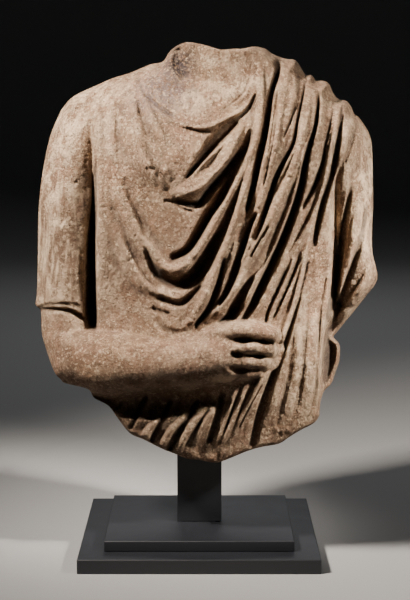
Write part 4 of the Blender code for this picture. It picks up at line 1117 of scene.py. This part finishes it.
def stone_finish():
    """The weathered sandstone: stains, lime, wear, dust and lichen over the ground colour, with painted shade
    in the cuts, the pits, under the forearm and on the sides turned away from the key light, and a painted
    highlight on the crests; and grain, lumps, pits and crust as small heights."""
    made, tree, shader, here = new_finish("weathered_sandstone")
    squashed = node(tree, "ShaderNodeVectorMath", {0: here, 1: STREAK_SQUASH},
                    operation="MULTIPLY").outputs[0]
    masks = {name: patch_mask(tree, here, *values) for name, values in STONE_PATCHES.items()}
    streaks = patch_mask(tree, squashed, *STREAKS)
    lime = near_any(tree, here, LIME_PLACES)
    holes = use(tree, pits, Coordinates=here, Size=0.0038, Share=0.42)
    small_holes = use(tree, pits, Coordinates=here, Size=0.0017, Share=0.35)

    # Painted shade: brown on the sides turned away from the key light, broken up by the mottle.
    side_shade = times(tree, stored(tree, "shaded_side"), maths(tree, "MULTIPLY_ADD", masks["mottle"], *SIDE_SHADE_SHARE))
    limed = times(tree, maths(tree, "MAXIMUM", masks["crust"], times(tree, streaks, lime)),
                  maths(tree, "MULTIPLY_ADD", lime, *LIME_SHARE))
    # Crests painted cream, partly for wear and partly as a painted highlight.
    wear_and_highlight = times(tree, stored(tree, "crest"), maths(tree, "MULTIPLY_ADD", masks["flecks"], *WEAR_AND_HIGHLIGHT_SHARE))
    colour = GROUND
    for name, tint, strength in STAINS:
        colour = tinted(tree, colour, tint, times(tree, masks[name], strength))
    # The brown places tint partly as iron stains and partly as painted shade.
    for tint, share in ((BROWN, near_any(tree, here, IRON_AND_SHADE_PLACES)),
                        # Brown painted shade on the sides turned away from the key light.
                        (BROWN, side_shade),
                        (CREAM, limed),
                        # Cream on crests: partly wear, partly a painted highlight.
                        (CREAM, wear_and_highlight),
                        (CREAM, times(tree, masks["flecks"], FLECK_SHARE)),
                        # Dark in the cuts: partly dust, partly painted shade.
                        (DUST_AND_SHADE, times(tree, stored(tree, "hollow"), CUT_DUST_AND_SHADE_SHARE)),
                        (HAZE, times(tree, near_any(tree, here, BELOW_NECK_PLACES), masks["lichen"])),
                        (LICHEN, times(tree, near_any(tree, here, NECK_PLACES), masks["lichen"])),
                        # Dark in the pits: partly dust, partly painted shade.
                        (DUST_AND_SHADE, times(tree, holes, HOLE_DUST_AND_SHADE_SHARE))):
        colour = tinted(tree, colour, tint, share)
    tree.links.new(colour, shader.inputs["Base Color"])

    grain = node(tree, "ShaderNodeTexNoise",
                 {"Vector": here, "Scale": 560.0, "Detail": 6.0, "Roughness": 0.75}).outputs["Fac"]
    lumps = node(tree, "ShaderNodeTexNoise",
                 {"Vector": here, "Scale": 170.0, "Detail": 4.0, "Roughness": 0.7}).outputs["Fac"]
    height = summed(tree, [(grain, 0.8), (lumps, 0.75), (holes, -0.8), (small_holes, -0.25),
                           (masks["crust"], 0.25), (masks["flecks"], 0.3),
                           (times(tree, stored(tree, "broken"), lumps), 0.8)])
    bump = node(tree, "ShaderNodeBump", {"Strength": 1.0, "Distance": BUMP_DEPTH, "Height": height})
    tree.links.new(bump.outputs["Normal"], shader.inputs["Normal"])
    shader.inputs["Roughness"].default_value = 0.9
    shader.inputs["Specular IOR Level"].default_value = 0.25
    return made


stone = stone_finish()
torso_mesh.materials.clear()
torso_mesh.materials.append(stone)
print("stone nodes", len(stone.node_tree.nodes))

# %% [markdown]
# ## The stand's finish
# The post and the plates are steel with a blue-black satin paint. Fine dust makes the sheen uneven, so
# the roughness varies a little over broad patches.

# %% The paint
PAINT = (0.010, 0.011, 0.014, 1)
PAINT_DUST = (0.10, 0.10, 0.10, 1)
PAINT_DUST_SHARE = 0.15
PAINT_ROUGHNESS = (0.10, 0.40)
SHEEN_PATCHES = (0.08, 0.5, 0.25, 0.6, 8.0)
DUST_SPECKS = (0.0016, 0.12, 0.06, 0.6, 9.0)


def paint_finish():
    """Satin black paint with an uneven sheen and a little dust."""
    made, tree, shader, here = new_finish("black_satin_paint")
    specks = times(tree, patch_mask(tree, here, *DUST_SPECKS), PAINT_DUST_SHARE)
    tree.links.new(tinted(tree, PAINT, PAINT_DUST, specks), shader.inputs["Base Color"])
    rough = maths(tree, "MULTIPLY_ADD", patch_mask(tree, here, *SHEEN_PATCHES), *PAINT_ROUGHNESS)
    tree.links.new(rough, shader.inputs["Roughness"])
    fine = node(tree, "ShaderNodeTexNoise", {"Vector": here, "Scale": 900.0, "Detail": 2.0}).outputs["Fac"]
    bump = node(tree, "ShaderNodeBump", {"Strength": 0.15, "Distance": 0.0002, "Height": fine})
    tree.links.new(bump.outputs["Normal"], shader.inputs["Normal"])
    return made


paint = paint_finish()
for name in ("stand_post", "stand_upper_plate", "stand_lower_plate"):
    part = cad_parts[name]
    part.data.materials.clear()
    part.data.materials.append(paint)

# %% [markdown]
# ## The floor, the light and the camera
# The stone is seen on a plain pale floor that curves up all round, so no horizon shows. One soft light
# stands high on the left and grazes the folds, which brings the carving out. A second, narrow one on
# the right reaches the far arm, a broad one behind lights the floor and the back, and a very weak one
# in front lifts the shadows. The camera looks slightly down from two metres.

# %% Floor
LEVEL_RADIUS = 3.6
CURVE_RADIUS = 1.6
WALL_TOP = 4.5
HUB_RADIUS = 0.02
FLOOR_COLOUR = (0.32, 0.317, 0.312, 1)


def floor_surface(turns, rows):
    """A dish of points. Its profile runs level, turns up through a quarter circle
    (r = level + b sin a, z = b - b cos a) and goes on upright, and turns about the upright axis."""
    angle = np.linspace(0, math.pi / 2, rows)
    wall = LEVEL_RADIUS + CURVE_RADIUS
    r = np.concatenate([[HUB_RADIUS], LEVEL_RADIUS + CURVE_RADIUS * np.sin(angle), [wall]])
    z = np.concatenate([[0.0], CURVE_RADIUS - CURVE_RADIUS * np.cos(angle), [WALL_TOP]])
    turn = np.linspace(0, 2 * math.pi, turns)
    x, y = r[:, None] * np.sin(turn), -r[:, None] * np.cos(turn)
    grid = np.stack(np.broadcast_arrays(x, y, z[:, None]), -1)
    index = np.arange(grid.shape[0] * turns).reshape(-1, turns)
    corners = [index[:-1, :-1], index[1:, :-1], index[1:, 1:], index[:-1, 1:]]
    return grid.reshape(-1, 3), np.stack(corners, -1).reshape(-1, 4)


grid, squares = floor_surface(turns=97, rows=25)
floor_mesh = bpy.data.meshes.new("floor")
floor_mesh.from_pydata(grid.tolist(), [], squares.tolist())
floor_mesh.shade_smooth()
floor = put("floor", floor_mesh)
pale = bpy.data.materials.new("pale_floor")
pale.use_nodes = True
pale_shader = pale.node_tree.nodes["Principled BSDF"]
pale_shader.inputs["Base Color"].default_value = FLOOR_COLOUR
pale_shader.inputs["Roughness"].default_value = 0.7
floor_mesh.materials.append(pale)

# %% Lights: place, aim, size, watts, colour and spread in degrees
LIGHTS = {
    "key": ((-1.05, -0.70, 1.66), (0.0, -0.1, 0.52), 0.24, 11.2, (1.0, 0.91, 0.82), 50.0),
    "edge": ((1.34, -0.70, 1.27), (0.20, -0.06, 0.41), 0.2, 2.1, (1.0, 0.93, 0.84), 20.0),
    "behind": ((0.3, 2.3, 2.2), (0.0, 0.2, 0.2), 1.8, 16.0, (0.97, 0.98, 1.0), 180.0),
    "fill": ((1.6, -2.3, 0.9), (0.0, 0.0, 0.42), 1.6, 0.3, (0.93, 0.96, 1.0), 180.0),
}
ROOM_COLOUR = (0.32, 0.34, 0.36, 1)
ROOM_STRENGTH = 0.06


def area_light(name, place, aim, size, power, colour, spread):
    """A square soft light at a place, turned towards an aim, with a grid that limits its spread."""
    light = bpy.data.lights.new(name, "AREA")
    light.size = size
    light.energy = power
    light.color = colour
    light.spread = math.radians(spread)
    item = bpy.data.objects.new(name, light)
    item.location = place
    item.rotation_euler = (Vector(aim) - Vector(place)).to_track_quat("-Z", "Y").to_euler()
    bpy.context.collection.objects.link(item)
    return item


for name, setting in LIGHTS.items():
    area_light(name, *setting)
world = bpy.data.worlds.new("studio")
world.use_nodes = True
background = world.node_tree.nodes["Background"]
background.inputs["Color"].default_value = ROOM_COLOUR
background.inputs["Strength"].default_value = ROOM_STRENGTH
bpy.context.scene.world = world
print("lights", len(LIGHTS))

# %% Camera
LENS = 88.0
LOOKS_DOWN = 0.1441
camera_data = bpy.data.cameras.new("camera")
camera_data.sensor_width = 36.0
camera_data.lens = LENS
camera = bpy.data.objects.new("camera", camera_data)
camera.location = (EYE_U * MM, -EYE_AWAY * MM, EYE_W * MM)
camera.rotation_euler = (math.pi / 2 - LOOKS_DOWN, 0, 0)
bpy.context.collection.objects.link(camera)
bpy.context.scene.camera = camera
